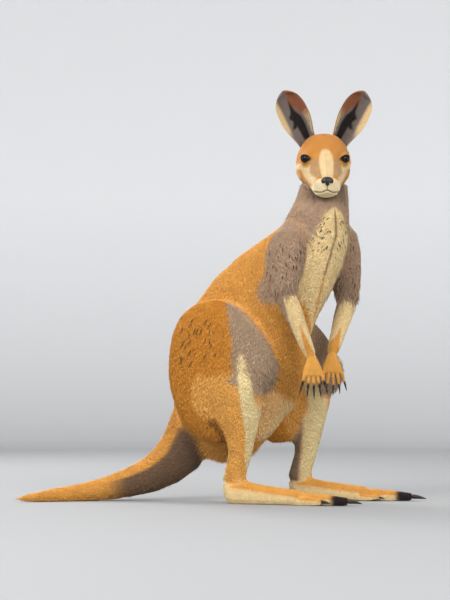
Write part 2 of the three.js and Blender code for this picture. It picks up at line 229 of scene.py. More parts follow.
def wrapped(groups: list[list[tuple[np.ndarray, float]]]) -> bmesh.types.BMesh:
    """Wraps each group of balls in one closed hull.

    Args:
        groups: groups of balls, each a place in the row frame and a radius in millimetres.

    Returns:
        All the hulls in one new mesh.
    """
    whole = bmesh.new()
    for group in groups:
        hull = bmesh.new()
        for at, radius in group:
            bmesh.ops.create_icosphere(hull, subdivisions=2, radius=radius * MM, matrix=Matrix.Translation(Vector(at)))
        found = bmesh.ops.convex_hull(hull, input=hull.verts)
        outside = [item for item in found["geom"] if isinstance(item, bmesh.types.BMFace)]
        points = {vertex: whole.verts.new(vertex.co) for face in outside for vertex in face.verts}
        for face in outside:
            whole.faces.new([points[vertex] for vertex in face.verts])
        hull.free()
    return whole


def add_node(tree: bpy.types.NodeTree, kind: str, inputs: dict | None = None, **settings) -> bpy.types.Node:
    """Adds one shader node.

    Args:
        tree: the material's nodes.
        kind: the node's type.
        inputs: by socket name or number, a value, or the output socket that feeds it.
        settings: the node's own properties.

    Returns:
        The node.
    """
    node = tree.nodes.new(kind)
    for name, value in settings.items():
        setattr(node, name, value)
    for socket, value in (inputs or {}).items():
        if isinstance(value, bpy.types.NodeSocket):
            tree.links.new(value, node.inputs[socket])
        else:
            node.inputs[socket].default_value = value
    return node


# ---------------------------------------------------------------- places


@dataclass(frozen=True)
class Axes:
    """A right-handed set of axes: forward, left and up, at a place of their own."""

    origin: np.ndarray
    turn: np.ndarray  # columns: forward, left, up

    def into(self, points: np.ndarray) -> np.ndarray:
        """Row-frame points in these axes, in millimetres."""
        return (points - self.origin) @ self.turn / MM

    def out(self, points: np.ndarray) -> np.ndarray:
        """Points in these axes, in millimetres, back in the row frame."""
        return np.asarray(points) * MM @ self.turn.T + self.origin

    def direction(self, vector: tuple[float, float, float]) -> np.ndarray:
        """A direction in these axes, in the row frame."""
        return self.turn @ np.array(vector)

    def child(self, at: tuple[float, float, float], roll: float, pitch: float, turn: float) -> Axes:
        """Axes held by these: their place in millimetres and their angles in degrees."""
        angles = Euler([math.radians(a) for a in (roll, pitch, turn)], "XYZ")
        return Axes(self.out(np.array(at)), self.turn @ np.array(angles.to_matrix()))


def head_axes() -> Axes:
    """The head's axes, midway between the eyes, with forward along the skull and not along the nose."""
    nose_below = math.radians(15.3)  # the nose lies this far under the skull's own axis, seen from the eyes
    right, left = middle("eye_right"), middle("eye_left")
    between = (right + left) / 2
    across = unit(left - right)
    to_nose = middle("nose") - between
    to_nose = unit(to_nose - (to_nose @ across) * across)
    over = np.cross(to_nose, across)
    forward = math.cos(nose_below) * to_nose + math.sin(nose_below) * over
    return Axes(between, np.column_stack([forward, across, np.cross(forward, across)]))


HEAD = head_axes()
EAR_ROOT = (-83.7, 42.0, 13.0)
EAR_TURN, EAR_PITCH, EAR_ROLL = 6, -12, 28
EAR_LENGTH = 166


def ear_axes(side: Side) -> Axes:
    """An ear's axes: its root, with up to its tip and forward out of its hollow."""
    x, y, z = EAR_ROOT
    sign = side.value
    return HEAD.child((x, sign * y, z), -sign * EAR_ROLL, EAR_PITCH, sign * EAR_TURN)


HAND_LENGTH = 85.8  # from the wrist to the middle claw's root


def claw_roots(limb: str, side: Side) -> list[np.ndarray]:
    """Where each claw of a hand or foot grows out."""
    nodes = sorted(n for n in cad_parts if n.startswith(f"claw_{limb}_{side.label}"))
    return [end_of(node, middle(f"{limb}_{side.label}") - middle(node)) for node in nodes]


def hand_axes(side: Side) -> Axes:
    """A hand's axes: the wrist, with forward along its middle finger and left across its fingers."""
    roots = claw_roots("hand", side)
    across = unit(roots[4] - roots[0])
    ahead = roots[2] - (roots[0] + roots[4]) / 2
    forward = unit(ahead - (ahead @ across) * across)
    turn = np.column_stack([forward, across, np.cross(forward, across)])
    return Axes(roots[2] - HAND_LENGTH * MM * forward, turn)


@dataclass(frozen=True)
class Spine:
    """The trunk's middle line: which way the animal faces at each height, and how far forward it is."""

    heights: tuple = (118, 232, 310, 385, 460, 535, 605, 672, 738, 806, 870, 1000)
    fore: tuple = (60, 20, 18, 28, 60, 108, 164, 220, 260, 278, 285, 286)
    aside: float = 20.0
    turn_from: float = 360.0
    turn_to: float = 738.0
    shoulder_turn: float = 38.0
    head_turn: float = 74.0
    neck_to: float = 960.0

    def angles(self, points: np.ndarray) -> np.ndarray:
        """How far the animal is turned at each point's height, in radians."""
        height = points[:, 2] / MM
        turn = self.shoulder_turn * ramp(height, self.turn_from, self.turn_to)
        turn += (self.head_turn - self.shoulder_turn) * ramp(height, self.turn_to, self.neck_to)
        return -np.radians(turn)

    def leftward(self, points: np.ndarray) -> np.ndarray:
        """The animal's left at each point's height, as directions."""
        angle = self.angles(points)
        return np.column_stack([-np.sin(angle), np.cos(angle), 0 * angle])

    def round_it(self, points: np.ndarray) -> tuple[np.ndarray, np.ndarray]:
        """Finds each point's place round the middle line.

        Args:
            points: row-frame points.

        Returns:
            How far each is to the front and to the left of the line, in millimetres.
        """
        height = points[:, 2] / MM
        angle = self.angles(points)
        x = points[:, 0] / MM - np.interp(height, self.heights, self.fore)
        y = points[:, 1] / MM - self.aside
        return x * np.cos(angle) + y * np.sin(angle), y * np.cos(angle) - x * np.sin(angle)


SPINE = Spine()


# ---------------------------------------------------------------- how the coat grows


@dataclass(frozen=True)
class Lay:
    """How the coat grows on one part, in millimetres and degrees."""

    depth: float  # from the skin to the coat's outside
    length: float
    width: float
    rise: float
    spacing: float


LAYS = {
    "head": Lay(depth=1.2, length=5.2, width=0.8, rise=9, spacing=1.42),
    "ear": Lay(depth=0.8, length=5.0, width=0.8, rise=8, spacing=1.66),
    "neck": Lay(depth=2.6, length=12, width=1.25, rise=9, spacing=2.18),
    "trunk": Lay(depth=2.8, length=13, width=1.35, rise=8, spacing=2.38),
    "tail": Lay(depth=2.4, length=11.5, width=1.25, rise=8, spacing=2.23),
    "thigh": Lay(depth=2.8, length=13, width=1.35, rise=8, spacing=2.38),
    "shin": Lay(depth=1.9, length=9.5, width=1.15, rise=8, spacing=1.99),
    "foot": Lay(depth=1.2, length=6.5, width=1.0, rise=8, spacing=1.80),
    "upper_arm": Lay(depth=2.6, length=12.5, width=1.25, rise=9, spacing=2.18),
    "forearm": Lay(depth=1.8, length=9, width=1.1, rise=8, spacing=1.90),
    "hand": Lay(depth=1.0, length=4.6, width=0.8, rise=8, spacing=1.42),
}
BARE = ("nose", "eye_right", "eye_left")


def family(part: str) -> str:
    """A part's name without its side or number."""
    return part.removesuffix("_right").removesuffix("_left").rstrip("_1234")


def lie_direction(part: str) -> np.ndarray:
    """The way the coat lies on a part, before it is laid on the surface.

    Args:
        part: a node's name.

    Returns:
        A direction in the row frame.
    """
    kind = family(part)
    side = Side.RIGHT if part.endswith("right") else Side.LEFT
    if kind in ("head", "nose", "eye"):
        return HEAD.direction((-1, 0, 0.1))
    if kind == "ear":
        return ear_axes(side).direction((0, 0, 1))
    if kind == "neck":
        return np.array([-0.2, 0, -1])
    if kind == "trunk":
        return np.array([-0.42, 0, -0.9])
    if kind == "tail":
        number = min(int(part[-1]), 3)
        return middle(f"tail_{number + 1}") - middle(f"tail_{number}")
    if kind == "thigh":
        return np.array([-0.3, 0, -1])
    if kind == "shin":
        return np.array([-0.3, 0, -1])
    if kind == "foot":
        return np.array([1, 0, -0.25])
    if kind == "upper_arm":
        return middle(f"forearm_{side.label}") - middle(part)
    if kind == "forearm":
        return middle(f"hand_{side.label}") - middle(part)
    return middle(part) - middle(f"forearm_{side.label}")


class Net:
    """The neighbours of each vertex of a mesh, for spreading values over its surface."""

    def __init__(self, mesh: bpy.types.Mesh) -> None:
        """Reads the edges of mesh."""
        edges = read(mesh.edges, "vertices", 2, np.int32)
        starts = np.concatenate([edges[:, 0], edges[:, 1]])
        order = np.argsort(starts, kind="stable")
        self.ends = np.concatenate([edges[:, 1], edges[:, 0]])[order]
        self.counts = np.bincount(starts, minlength=len(mesh.vertices))
        self.offsets = np.concatenate([[0], np.cumsum(self.counts)[:-1]])

    def spread(self, values: np.ndarray, rounds: int, share: np.ndarray | float = 0.5) -> np.ndarray:
        """Moves each value towards its neighbours' mean, again and again.

        Args:
            values: one row for each vertex.
            rounds: how often.
            share: how far each time, for all or for each vertex.

        Returns:
            The spread values.
        """
        counts = self.counts.reshape(-1, *[1] * (values.ndim - 1))
        part = np.broadcast_to(np.asarray(share), self.counts.shape).reshape(counts.shape)
        for _ in range(rounds):
            mean = np.add.reduceat(values[self.ends], self.offsets, axis=0) / counts
            values = values + part * (mean - values)
        return values


class PartFinder:
    """Tells which node a place on the skin came from."""

    def __init__(self) -> None:
        """Gathers the faces of every node that the skin covers."""
        self.names = sorted(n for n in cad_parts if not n.startswith("claw"))
        points, faces, self.owner = [], [], []
        for number, name in enumerate(self.names):
            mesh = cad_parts[name].data
            base = len(points)
            points += [tuple(v.co) for v in mesh.vertices]
            faces += [tuple(base + i for i in polygon.vertices) for polygon in mesh.polygons]
            self.owner += [number] * len(mesh.polygons)
        self.tree = BVHTree.FromPolygons(points, faces)

    def find(self, points: np.ndarray) -> np.ndarray:
        """Returns, for each point, the number in self.names of the node nearest to it."""
        return np.array([self.owner[self.tree.find_nearest(Vector(p))[2]] for p in points])


# ---------------------------------------------------------------- the skin


@dataclass(frozen=True)
class Batch:
    """A group of flesh nodes that is surfaced at its own fineness."""

    kinds: tuple[str, ...]
    voxel: float
    swell: float
    keep: float  # the share of its faces that thinning keeps
    rounds: int  # how long its facets are rounded off


BATCHES = {
    "body": Batch(
        ("trunk", "neck", "tail", "thigh", "shin", "upper_arm", "forearm"), 3.2 * MM, 1.2 * MM, 0.185, 130
    ),
    "head": Batch(("head", "nose", "eye"), 2.4 * MM, 1.2 * MM, 0.71, 26),
    "feet": Batch(("foot",), 2.2 * MM, 1.0 * MM, 0.32, 16),
    "hands": Batch(("hand",), 1.2 * MM, 0.0, 0.36, 6),
}


@dataclass(frozen=True)
class EarLeaf:
    """An ear: a thin leaf, nearly a closed tube at its root and ever flatter towards its round tip."""

    widest: float = 41.0
    wall: float = 3.6
    columns: int = 18
    rows: int = 25
    root_below: float = 10.0

    def half_width(self, up: np.ndarray) -> np.ndarray:
        """Half the leaf's width at a share of its length, in millimetres."""
        widest_at = 0.55
        low = 0.5 + 0.5 * ramp(up, 0, widest_at)
        high = np.clip(1 - (np.clip(up - widest_at, 0, 1) / (1 - widest_at)) ** 3, 0, 1) ** 0.45
        return self.widest * np.maximum(np.where(up < widest_at, low, high), 0.05)

    def mesh(self, side: Side) -> bpy.types.Mesh:
        """Bends a grid into the leaf and gives it a wall.

        Args:
            side: which ear.

        Returns:
            The closed leaf in the row frame.
        """
        leaf = bmesh.new()
        bmesh.ops.create_grid(leaf, x_segments=self.columns, y_segments=self.rows, size=1.0)
        flat = np.array([v.co[:] for v in leaf.verts])
        across = np.sign(flat[:, 0]) * np.abs(flat[:, 0]) ** 0.9
        up = 1 - (1 - (flat[:, 1] + 1) / 2) ** 1.35
        opened = np.radians(118 + (56 - 118) * up**0.6)
        radius = self.half_width(up) / np.sin(np.minimum(opened, np.pi / 2)) + self.wall / 2
        back = -12 - 9 * np.sin(np.pi * up) + 4 * up
        angle = across * opened
        ripple = 1.6 * np.sin(across * 7) * ramp(up, 0.02, 0.2) * ramp(up, 0.95, 0.5) * ramp(np.abs(across), 1, 0.6)
        curl = 3.5 * np.abs(across) ** 3 * ramp(up, 0.1, 0.5)
        local = np.column_stack([
            back + radius - (radius + ripple) * np.cos(angle) + curl,
            radius * np.sin(angle),
            -self.root_below + up * (EAR_LENGTH - 2 + self.root_below) - 9 * np.abs(across) ** 4 * up**6,
        ])
        placed = ear_axes(side).out(local)
        for vertex, point in zip(leaf.verts, placed):
            vertex.co = point
        bmesh.ops.recalc_face_normals(leaf, faces=leaf.faces)
        mesh = bpy.data.meshes.new("ear")
        leaf.to_mesh(mesh)
        leaf.free()
        piece = loose_object("ear", mesh)
        wall = piece.modifiers.new("wall", "SOLIDIFY")
        wall.thickness = self.wall * MM
        wall.offset = 0
        round_off = piece.modifiers.new("round rim", "SUBSURF")
        round_off.levels = round_off.render_levels = 1
        return applied(piece)


@dataclass(frozen=True)
class Bridges:
    """Flesh that carries one part over into the next, as groups of balls for hulls."""

    fingers: int = 5
    spread: float = 10.6
    palm: float = 55.0

    def hand(self, side: Side) -> list[list[tuple[np.ndarray, float]]]:
        """A palm and five separate fingers with knuckles, each as far as its claw."""
        axes = hand_axes(side)
        palm = [((2, 2.2, 0), 11.4), ((24, 8.5, 0), 11.2), ((47, 17, 0), 8.4)]
        groups = [[(axes.out((x, sign * y, z)), radius) for (x, y, z), radius in palm for sign in (-1, 1)]]
        for number, root in enumerate(claw_roots("hand", side)):
            place_ = number - self.fingers // 2
            start = np.array([self.palm * (1 - 0.045 * place_**2) - 10, self.spread * place_, 0])
            end = axes.into(root[None])[0] - np.array([1.2, 0, 0])
            chain = [(axes.out((5, 3.4 * place_, 0)), 9.6)]
            for share, lift, radius in ((0, 0, 6.8), (0.36, 1.2, 5.3), (0.54, 1.6, 5.6), (0.8, 0.6, 4.6), (1, 0, 4.2)):
                chain.append((axes.out(start + share * (end - start) + np.array([0, 0, lift])), radius))
            groups += [list(pair) for pair in zip(chain, chain[1:])]
        return groups

    def joints(self) -> list[list[tuple[np.ndarray, float]]]:
        """The wrists, ankles, shoulders and nape."""
        top = end_of("neck", UP)
        chain = [(top - 42 * MM * UP, 58), (top - 4 * MM * UP, 48), (HEAD.out((-60, 0, -25)), 52)]
        groups = [list(pair) for pair in zip(chain, chain[1:])]
        for side in Side:
            axes = hand_axes(side)
            way = unit(middle(f"hand_{side.label}") - middle(f"forearm_{side.label}"))
            end = end_of(f"forearm_{side.label}", way)
            chain = [(end - 30 * MM * way, 17), (end - 2 * MM * way, 15), (axes.out((12, 0, 0)), 13.4),
                     (axes.out((26, 0, 0)), 12)]
            groups += [list(pair) for pair in zip(chain, chain[1:])]
            ankle = end_of(f"shin_{side.label}", -UP)
            rows = ((74, 9, 24, 18.5), (34, 2, 15, 21), (-14, -4, 16, 22))
            rows = [[(ankle + np.array([fore, 0, rise]) * MM, radius) for fore in (rear, front)]
                    for rise, rear, front, radius in rows]
            groups += [upper + lower for upper, lower in zip(rows, rows[1:])]
            arm = end_of(f"upper_arm_{side.label}", UP)
            neck = middle("neck")
            aside = unit((arm - neck) * np.array([1, 1, 0]))
            groups.append([(arm - 44 * MM * UP, 39), (neck + 24 * MM * aside, 50)])
        return groups


@dataclass
class SkinMaker:
    """Makes one skin of all the flesh: surfaced in batches, rounded off and joined without a seam."""

    finder: PartFinder = field(default_factory=PartFinder)
    bridges: Bridges = field(default_factory=Bridges)
    seam_rounds: int = 26

    def flesh(self, name: str, batch: Batch) -> bmesh.types.BMesh:
        """Gathers the closed solids that a batch's surface is drawn round."""
        if name == "hands":
            return wrapped([group for side in Side for group in self.bridges.hand(side)])
        whole = wrapped(self.bridges.joints()) if name == "body" else bmesh.new()
        for node in self.finder.names:
            if family(node) in batch.kinds:
                copy = merged_copy(node)
                for vertex in copy.verts:
                    vertex.co += vertex.normal * batch.swell
                mesh = bpy.data.meshes.new(node)
                copy.to_mesh(mesh)
                copy.free()
                whole.from_mesh(mesh)
        return whole

    def surfaced(self, name: str, batch: Batch) -> bpy.types.Mesh:
        """Draws one closed surface round the swollen copies of a batch's nodes, without their facets.

        Args:
            name: the batch's name.
            batch: its nodes and sizes.

        Returns:
            The batch's surface.
        """
        whole = self.flesh(name, batch)
        mesh = bpy.data.meshes.new(name)
        whole.to_mesh(mesh)
        whole.free()
        piece = loose_object(name, mesh)
        remesh = piece.modifiers.new("one surface", "REMESH")
        remesh.mode = "VOXEL"
        remesh.voxel_size = batch.voxel
        mesh = applied(piece)
        self.rounded(mesh, batch)
        if batch.keep < 1:
            piece = loose_object(name, mesh)
            piece.modifiers.new("thin", "DECIMATE").ratio = batch.keep
            mesh = applied(piece)
        return mesh

    def rounded(self, mesh: bpy.types.Mesh, batch: Batch) -> None:
        """Rounds off the flat facets without shrinking the form, and fills the folds between parts."""
        net = Net(mesh)
        points = read(mesh.vertices, "co", 3)
        parts = self.finder.find(points)
        kinds = [family(name) for name in self.finder.names]
        give = {"forearm": 0.25, "shin": 0.3, "upper_arm": 0.6, "tail": 0.55}
        share = np.array([give.get(kind, 1.0) for kind in kinds])[parts]
        share = 0.8 * net.spread(share, 20)
        rounded = net.spread(points, batch.rounds, share)
        rounded += net.spread(points - rounded, batch.rounds, share)
        if len(batch.kinds) > 3:
            for kind, width in (("upper_arm", 26), ("thigh", 12), ("shin", 10), ("forearm", 6), ("tail", 26)):
                member = net.spread(np.array([k == kind for k in kinds])[parts].astype(float), width)
                border = np.clip(4 * member * (1 - member), 0, 1)
                rounded = net.spread(rounded, 5 * width, 0.8 * border)
        place(mesh, rounded)

    def made(self) -> bpy.types.Mesh:
        """Joins the batches and ears and smooths the joins.

        Returns:
            The skin's mesh, out at the coat's surface, before the face is shaped.
        """
        meshes = [self.surfaced(name, batch) for name, batch in BATCHES.items()]
        meshes += [EarLeaf().mesh(side) for side in Side]
        whole = loose_object("skin", meshes[0])
        others = [loose_object("other", mesh) for mesh in meshes[1:]]
        for other in others:
            union = whole.modifiers.new("join", "BOOLEAN")
            union.operation = "UNION"
            union.solver = "MANIFOLD"
            union.object = other
        mesh = applied(whole)
        for other in others:
            bpy.data.objects.remove(other)
        work = bmesh.new()
        work.from_mesh(mesh)
        bmesh.ops.remove_doubles(work, verts=work.verts, dist=0.2 * MM)
        bmesh.ops.dissolve_degenerate(work, edges=work.edges, dist=0.2 * MM)
        bmesh.ops.triangulate(work, faces=[f for f in work.faces if len(f.verts) > 4])
        work.to_mesh(mesh)
        work.free()
        net = Net(mesh)
        points = read(mesh.vertices, "co", 3)
        parts = self.finder.find(points)
        kinds = [family(name) for name in self.finder.names]
        share = np.zeros(len(points))
        for members, rounds in ((("head", "nose", "eye", "ear"), 14), (("hand",), 9), (("foot",), 15), (("ear",), 2)):
            member = net.spread(np.array([kind in members for kind in kinds])[parts].astype(float), rounds)
            share = np.maximum(share, np.clip(4 * member * (1 - member), 0, 1))
        points = net.spread(points, self.seam_rounds, 0.8 * share)
        points[:, 2] = np.maximum(points[:, 2], 0.3 * MM)
        place(mesh, points)
        return mesh


@dataclass
class FaceShaper:
    """Gives the head its lids, lips, nostril folds and brow, on a mesh made finer there."""

    eye_reach: float = 27.0
    lid_reach: float = 20.5
    muzzle_from: float = 33.0
    lid_radius: float = 16.4
    hidden_radius: float = 12.6
    gaze: tuple[float, float, float] = (0.78, 0.50, 0.40)
    open_inner: float = 70.0  # degrees from the pupil to the eye's inner corner
    open_outer: float = 58.0
    open_up: float = 23.0
    open_down: float = 40.0

    def eye_place(self, side: Side) -> np.ndarray:
        """The eyeball's middle in the head's axes, in millimetres."""
        return HEAD.into(middle(f"eye_{side.label}")[None])[0]

    def eye_axes(self, side: Side) -> np.ndarray:
        """Rows: an eye's gaze, its inner corner's way and its up, in the head's axes."""
        ahead = unit(np.array([self.gaze[0], side.value * self.gaze[1], self.gaze[2]]))
        inner = np.array([1.0, -side.value * 0.75, 0.42])
        inner = unit(inner - (inner @ ahead) * ahead)
        over = np.cross(ahead, inner) * -side.value
        return np.array([ahead, inner, over if over[2] > 0 else -over])

    def finer(self, mesh: bpy.types.Mesh) -> None:
        """Splits the faces round the muzzle once and round each eye twice."""
        work = bmesh.new()
        work.from_mesh(mesh)
        zones = (
            lambda local: (local[:, 0] > self.muzzle_from) & (np.abs(local[:, 1]) < 60),
            lambda local: self.near_eyes(local, self.eye_reach),
            lambda local: self.near_eyes(local, self.lid_reach),
        )
        for near in zones:
            local = HEAD.into(np.array([v.co[:] for v in work.verts]))
            chosen = near(local) & (np.linalg.norm(local, axis=1) < 190)
            edges = [e for e in work.edges if chosen[e.verts[0].index] and chosen[e.verts[1].index]]
            bmesh.ops.subdivide_edges(work, edges=edges, cuts=1, use_grid_fill=True, smooth=0)
            work.verts.index_update()
        bmesh.ops.triangulate(work, faces=[f for f in work.faces if len(f.verts) > 4])
        work.to_mesh(mesh)
        work.free()

    def near_eyes(self, local: np.ndarray, reach: float) -> np.ndarray:
        """True for points in the head's axes that lie no farther from an eye than the given reach."""
        return np.any([np.linalg.norm(local - self.eye_place(s), axis=1) < reach for s in Side], axis=0)

    def opening(self, local: np.ndarray, side: Side) -> tuple[np.ndarray, np.ndarray, np.ndarray, np.ndarray]:
        """Measures points against the opening between the lids.

        Args:
            local: points in the head's axes, in millimetres.
            side: which eye.

        Returns:
            Degrees outside the opening's edge (below 0 inside), the distance from the eyeball's
            middle, degrees above the pupil and degrees from it towards the inner corner.
        """
        away = local - self.eye_place(side)
        reach = np.linalg.norm(away, axis=1)
        ahead, inner, over = (away / np.maximum(reach, 1e-6)[:, None] @ self.eye_axes(side).T).T
        across = np.degrees(np.arctan2(inner, np.maximum(ahead, -1)))
        above = np.degrees(np.arctan2(over, np.maximum(ahead, -1)))
        lean = above + 0.04 * across  # the inner corner sits lower
        corner = np.where(across > 0, self.open_inner, self.open_outer)
        bow = np.clip(1 - (across / corner) ** 2, 0, None)
        upper = self.open_up * bow**0.4
        lower = self.open_down * bow**0.65
        edge = np.where(lean > 0, lean - upper, -lean - lower)
        edge = np.where(np.abs(across) > corner, np.hypot(np.abs(across) - corner, lean), edge)
        return np.where(ahead < 0, 90.0, edge), reach, above, across

    def lids(self, local: np.ndarray) -> np.ndarray:
        """Draws the skin over each eyeball, with an opening whose edge is a thick lid."""
        for side in Side:
            edge, reach, above, across = self.opening(local, side)
            near = ramp(reach, 33, 21) * ramp(edge, 85, 50)
            over = ramp(above, -4, 8) * ramp(across, 70, 40) * ramp(across, -68, -36)
            rim = 0.9 * np.exp(-(((edge - 6) / 6) ** 2)) + (0.3 + 0.6 * over) * np.exp(-(((edge - 9) / 9) ** 2))
            rim += 1.5 * over * np.exp(-(((edge - 14) / 9) ** 2))
            crease = -0.9 * np.exp(-(((edge - 29) / 6) ** 2))
            radius = self.lid_radius + rim + crease + 0.05 * np.clip(edge - 24, 0, 60)
            radius = np.where(edge < 0, self.hidden_radius, np.minimum(radius, self.hidden_radius + 1.9 * edge + 1))
            wanted = reach + near * (radius - reach)
            centre = self.eye_place(side)
            local = centre + (local - centre) * (wanted / np.maximum(reach, 1e-6))[:, None]
        return local

    def mouth_line(self, local: np.ndarray) -> np.ndarray:
        """How far each point is from the line between the lips, in millimetres."""
        x, y, z = local.T
        aside = np.abs(y)
        level = -50 - 9 * ramp(aside, 0, 20) - 8 * ramp(x, 104, 78)
        gap = np.abs(z - level)
        return np.where(x < 40, np.hypot(gap, 40 - x), gap)

    def lips(self, local: np.ndarray, normals: np.ndarray) -> np.ndarray:
        """Presses in the mouth's line and the cleft below the nose, and fills the lips beside them."""
        x, y, z = local.T
        gap = self.mouth_line(local)
        groove = -2.6 * np.exp(-((gap / 1.5) ** 2)) + 1.3 * np.exp(-(((gap - 6) / 4) ** 2))
        cleft = -2.2 * np.exp(-((y / 1.3) ** 2)) * ramp(z, -52, -48) * ramp(z, -30, -36) * ramp(x, 90, 100)
        pads = 1.6 * np.exp(-(((np.abs(y) - 15) / 9) ** 2)) * np.exp(-(((z + 44) / 9) ** 2)) * ramp(x, 82, 100)
        return local + normals * (groove * ramp(x, 34, 46) + cleft + pads)[:, None]

    def nose_seat(self, local: np.ndarray) -> np.ndarray:
        """Draws the skin in under the nose pad."""
        centre = HEAD.into(middle("nose")[None])[0]
        away = local - centre
        reach = np.linalg.norm(away / np.array([1.0, 1.2, 0.95]), axis=1)
        inward = ramp(reach, 17.2, 14) * 5.0
        return local - inward[:, None] * np.array([1.0, 0, -0.1])

    def brow(self, local: np.ndarray, normals: np.ndarray) -> np.ndarray:
        """Models the skull's forms: brow ridge, hollow before the eye, cheek arch and jaw."""
        x, y, z = local.T
        aside = np.abs(y)

        def swell(cx: float, cy: float, cz: float, rx: float, ry: float, rz: float) -> np.ndarray:
            """A soft hill, 1 at its middle."""
            return np.exp(-(((x - cx) / rx) ** 2 + ((aside - cy) / ry) ** 2 + ((z - cz) / rz) ** 2))

        height = 4.0 * swell(-2, 40, 21, 20, 16, 10)
        height += -3.5 * swell(34, 36, -6, 15, 14, 13)
        height += 3.0 * swell(-22, 66, -26, 30, 18, 9)
        height += -2.5 * swell(10, 62, -40, 26, 20, 9)
        height += 2.2 * swell(-48, 58, -66, 26, 20, 16)
        height += -2.0 * swell(20, 0, 40, 34, 12, 16)
        height += 2.2 * swell(66, 0, 6, 30, 12, 16)
        return local + normals * height[:, None]

    def shape(self, mesh: bpy.types.Mesh) -> None:
        """Makes the mesh finer on the face and models the face on it."""
        self.finer(mesh)
        points = read(mesh.vertices, "co", 3)
        local = HEAD.into(points)
        near = np.linalg.norm(local - np.array([10, 0, -30]), axis=1) < 150
        normals = read(mesh.vertex_normals, "vector", 3)[near] @ HEAD.turn
        moved = self.brow(local[near], normals)
        moved = self.lips(moved, normals)
        moved = self.nose_seat(moved)
        moved = self.lids(moved)
        points[near] = HEAD.out(moved)
        place(mesh, points)


@dataclass
class Skin:
    """The finished skin and what is known at each of its vertices."""

    mesh: bpy.types.Mesh
    points: np.ndarray
    normals: np.ndarray
    parts: np.ndarray
    names: list[str]
    lay: dict[str, np.ndarray]
    flow: np.ndarray
    colours: np.ndarray | None = None


class CoatLayer:
    """Works out, at each vertex, how deep, long and dense the coat is and which way it lies."""

    def __init__(self, mesh: bpy.types.Mesh, finder: PartFinder, face: FaceShaper) -> None:
        """Keeps the skin's mesh and finds each vertex's part."""
        self.mesh = mesh
        self.face = face
        self.net = Net(mesh)
        self.points = read(mesh.vertices, "co", 3)
        self.normals = read(mesh.vertex_normals, "vector", 3)
        self.names = finder.names
        self.parts = finder.find(self.points)

    def field(self, name: str, rounds: int = 14) -> np.ndarray:
        """One of Lay's sizes at each vertex, evened out between the parts."""
        table = [getattr(LAYS.get(family(part), LAYS["head"]), name) for part in self.names]
        return self.net.spread(np.array(table)[self.parts], rounds)

    def flow(self) -> np.ndarray:
        """The lie of the coat at each vertex, flat on the surface."""
        ways = np.array([unit(lie_direction(part)) for part in self.names])[self.parts]
        front, left = SPINE.round_it(self.points)
        height = self.points[:, 2] / MM
        trunk = np.isin(self.parts, [i for i, n in enumerate(self.names) if n in ("trunk", "neck")])
        chest = trunk * ramp(height, 480, 540) * ramp(height, 860, 800) * ramp(front, 0, 40)
        parting = np.sign(left) * np.exp(-((left / 70) ** 2))
        ways = ways + (chest * parting * 0.7)[:, None] * SPINE.leftward(self.points)
        ways = along_surface(ways, self.normals)
        for _ in range(5):
            ways = along_surface(self.net.spread(ways, 6), self.normals)
        return ways

    def bare(self) -> np.ndarray:
        """1 where tufts grow, 0 on the soles, in the eyes' openings, under the nose pad and in the mouth."""
        local = HEAD.into(self.points)
        grows = np.ones(len(self.points))
        for side in Side:
            edge, reach, _, _ = self.face.opening(local, side)
            grows *= np.where(reach < 21.5, ramp(edge, 7, 15), 1)
        nose = np.linalg.norm((local - HEAD.into(middle("nose")[None])[0]) / np.array([1.0, 1.2, 0.95]), axis=1)
        grows *= ramp(nose, 16, 18)
        on_head = np.linalg.norm(local, axis=1) < 200
        grows *= np.where(on_head & (self.face.mouth_line(local) < 1.6) & (local[:, 0] > 40), 0, 1)
        sole = (self.points[:, 2] < 6 * MM) & (self.normals[:, 2] < -0.6)
        return np.where(sole, 0, grows)

    def sink(self) -> None:
        """Draws the skin in by the coat's depth, but for the soles and the lids."""
        depth = self.field("depth")
        local = HEAD.into(self.points)
        for side in Side:
            _, reach, _, _ = self.face.opening(local, side)
            depth *= ramp(reach, 17, 30)
        sole = ramp(self.points[:, 2] / MM, 8, 3) * ramp(-self.normals[:, 2], 0.3, 0.7)
        depth *= 1 - sole
        points = self.points - self.normals * (depth * MM)[:, None]
        points[:, 2] = np.maximum(points[:, 2], 0.2 * MM)
        place(self.mesh, points)
        self.points = points
        self.normals = read(self.mesh.vertex_normals, "vector", 3)

    def shorter_on_face(self, length: np.ndarray) -> np.ndarray:
        """Shortens the coat towards the nose, the lips, the eyes and the wrists."""
        local = HEAD.into(self.points)
        on_head = np.linalg.norm(local, axis=1) < 160
        share = 1 - 0.5 * ramp(local[:, 0], 0, 70) * on_head
        for side in Side:
            _, reach, _, _ = self.face.opening(local, side)
            share = np.minimum(share, np.where(reach < 40, 0.35 + 0.65 * ramp(reach, 19, 36), 1))
        for side in Side:
            wrist = np.linalg.norm(self.points - hand_axes(side).origin, axis=1) / MM
            share = np.minimum(share, 0.55 + 0.45 * ramp(wrist, 8, 60))
        return length * share

    def made(self) -> Skin:
        """Sinks the skin and returns it with its fields."""
        self.sink()
        lay = {name: self.field(name) for name in ("length", "width", "rise", "spacing")}
        short = self.shorter_on_face(np.ones(len(self.points)))
        lay["length"] = lay["length"] * short
        lay["width"] = lay["width"] * (0.45 + 0.55 * short)
        lay["spacing"] = lay["spacing"] * (0.6 + 0.4 * short)
        lay["grows"] = self.bare()
        return Skin(self.mesh, self.points, self.normals, self.parts, self.names, lay, self.flow())


# ---------------------------------------------------------------- markings


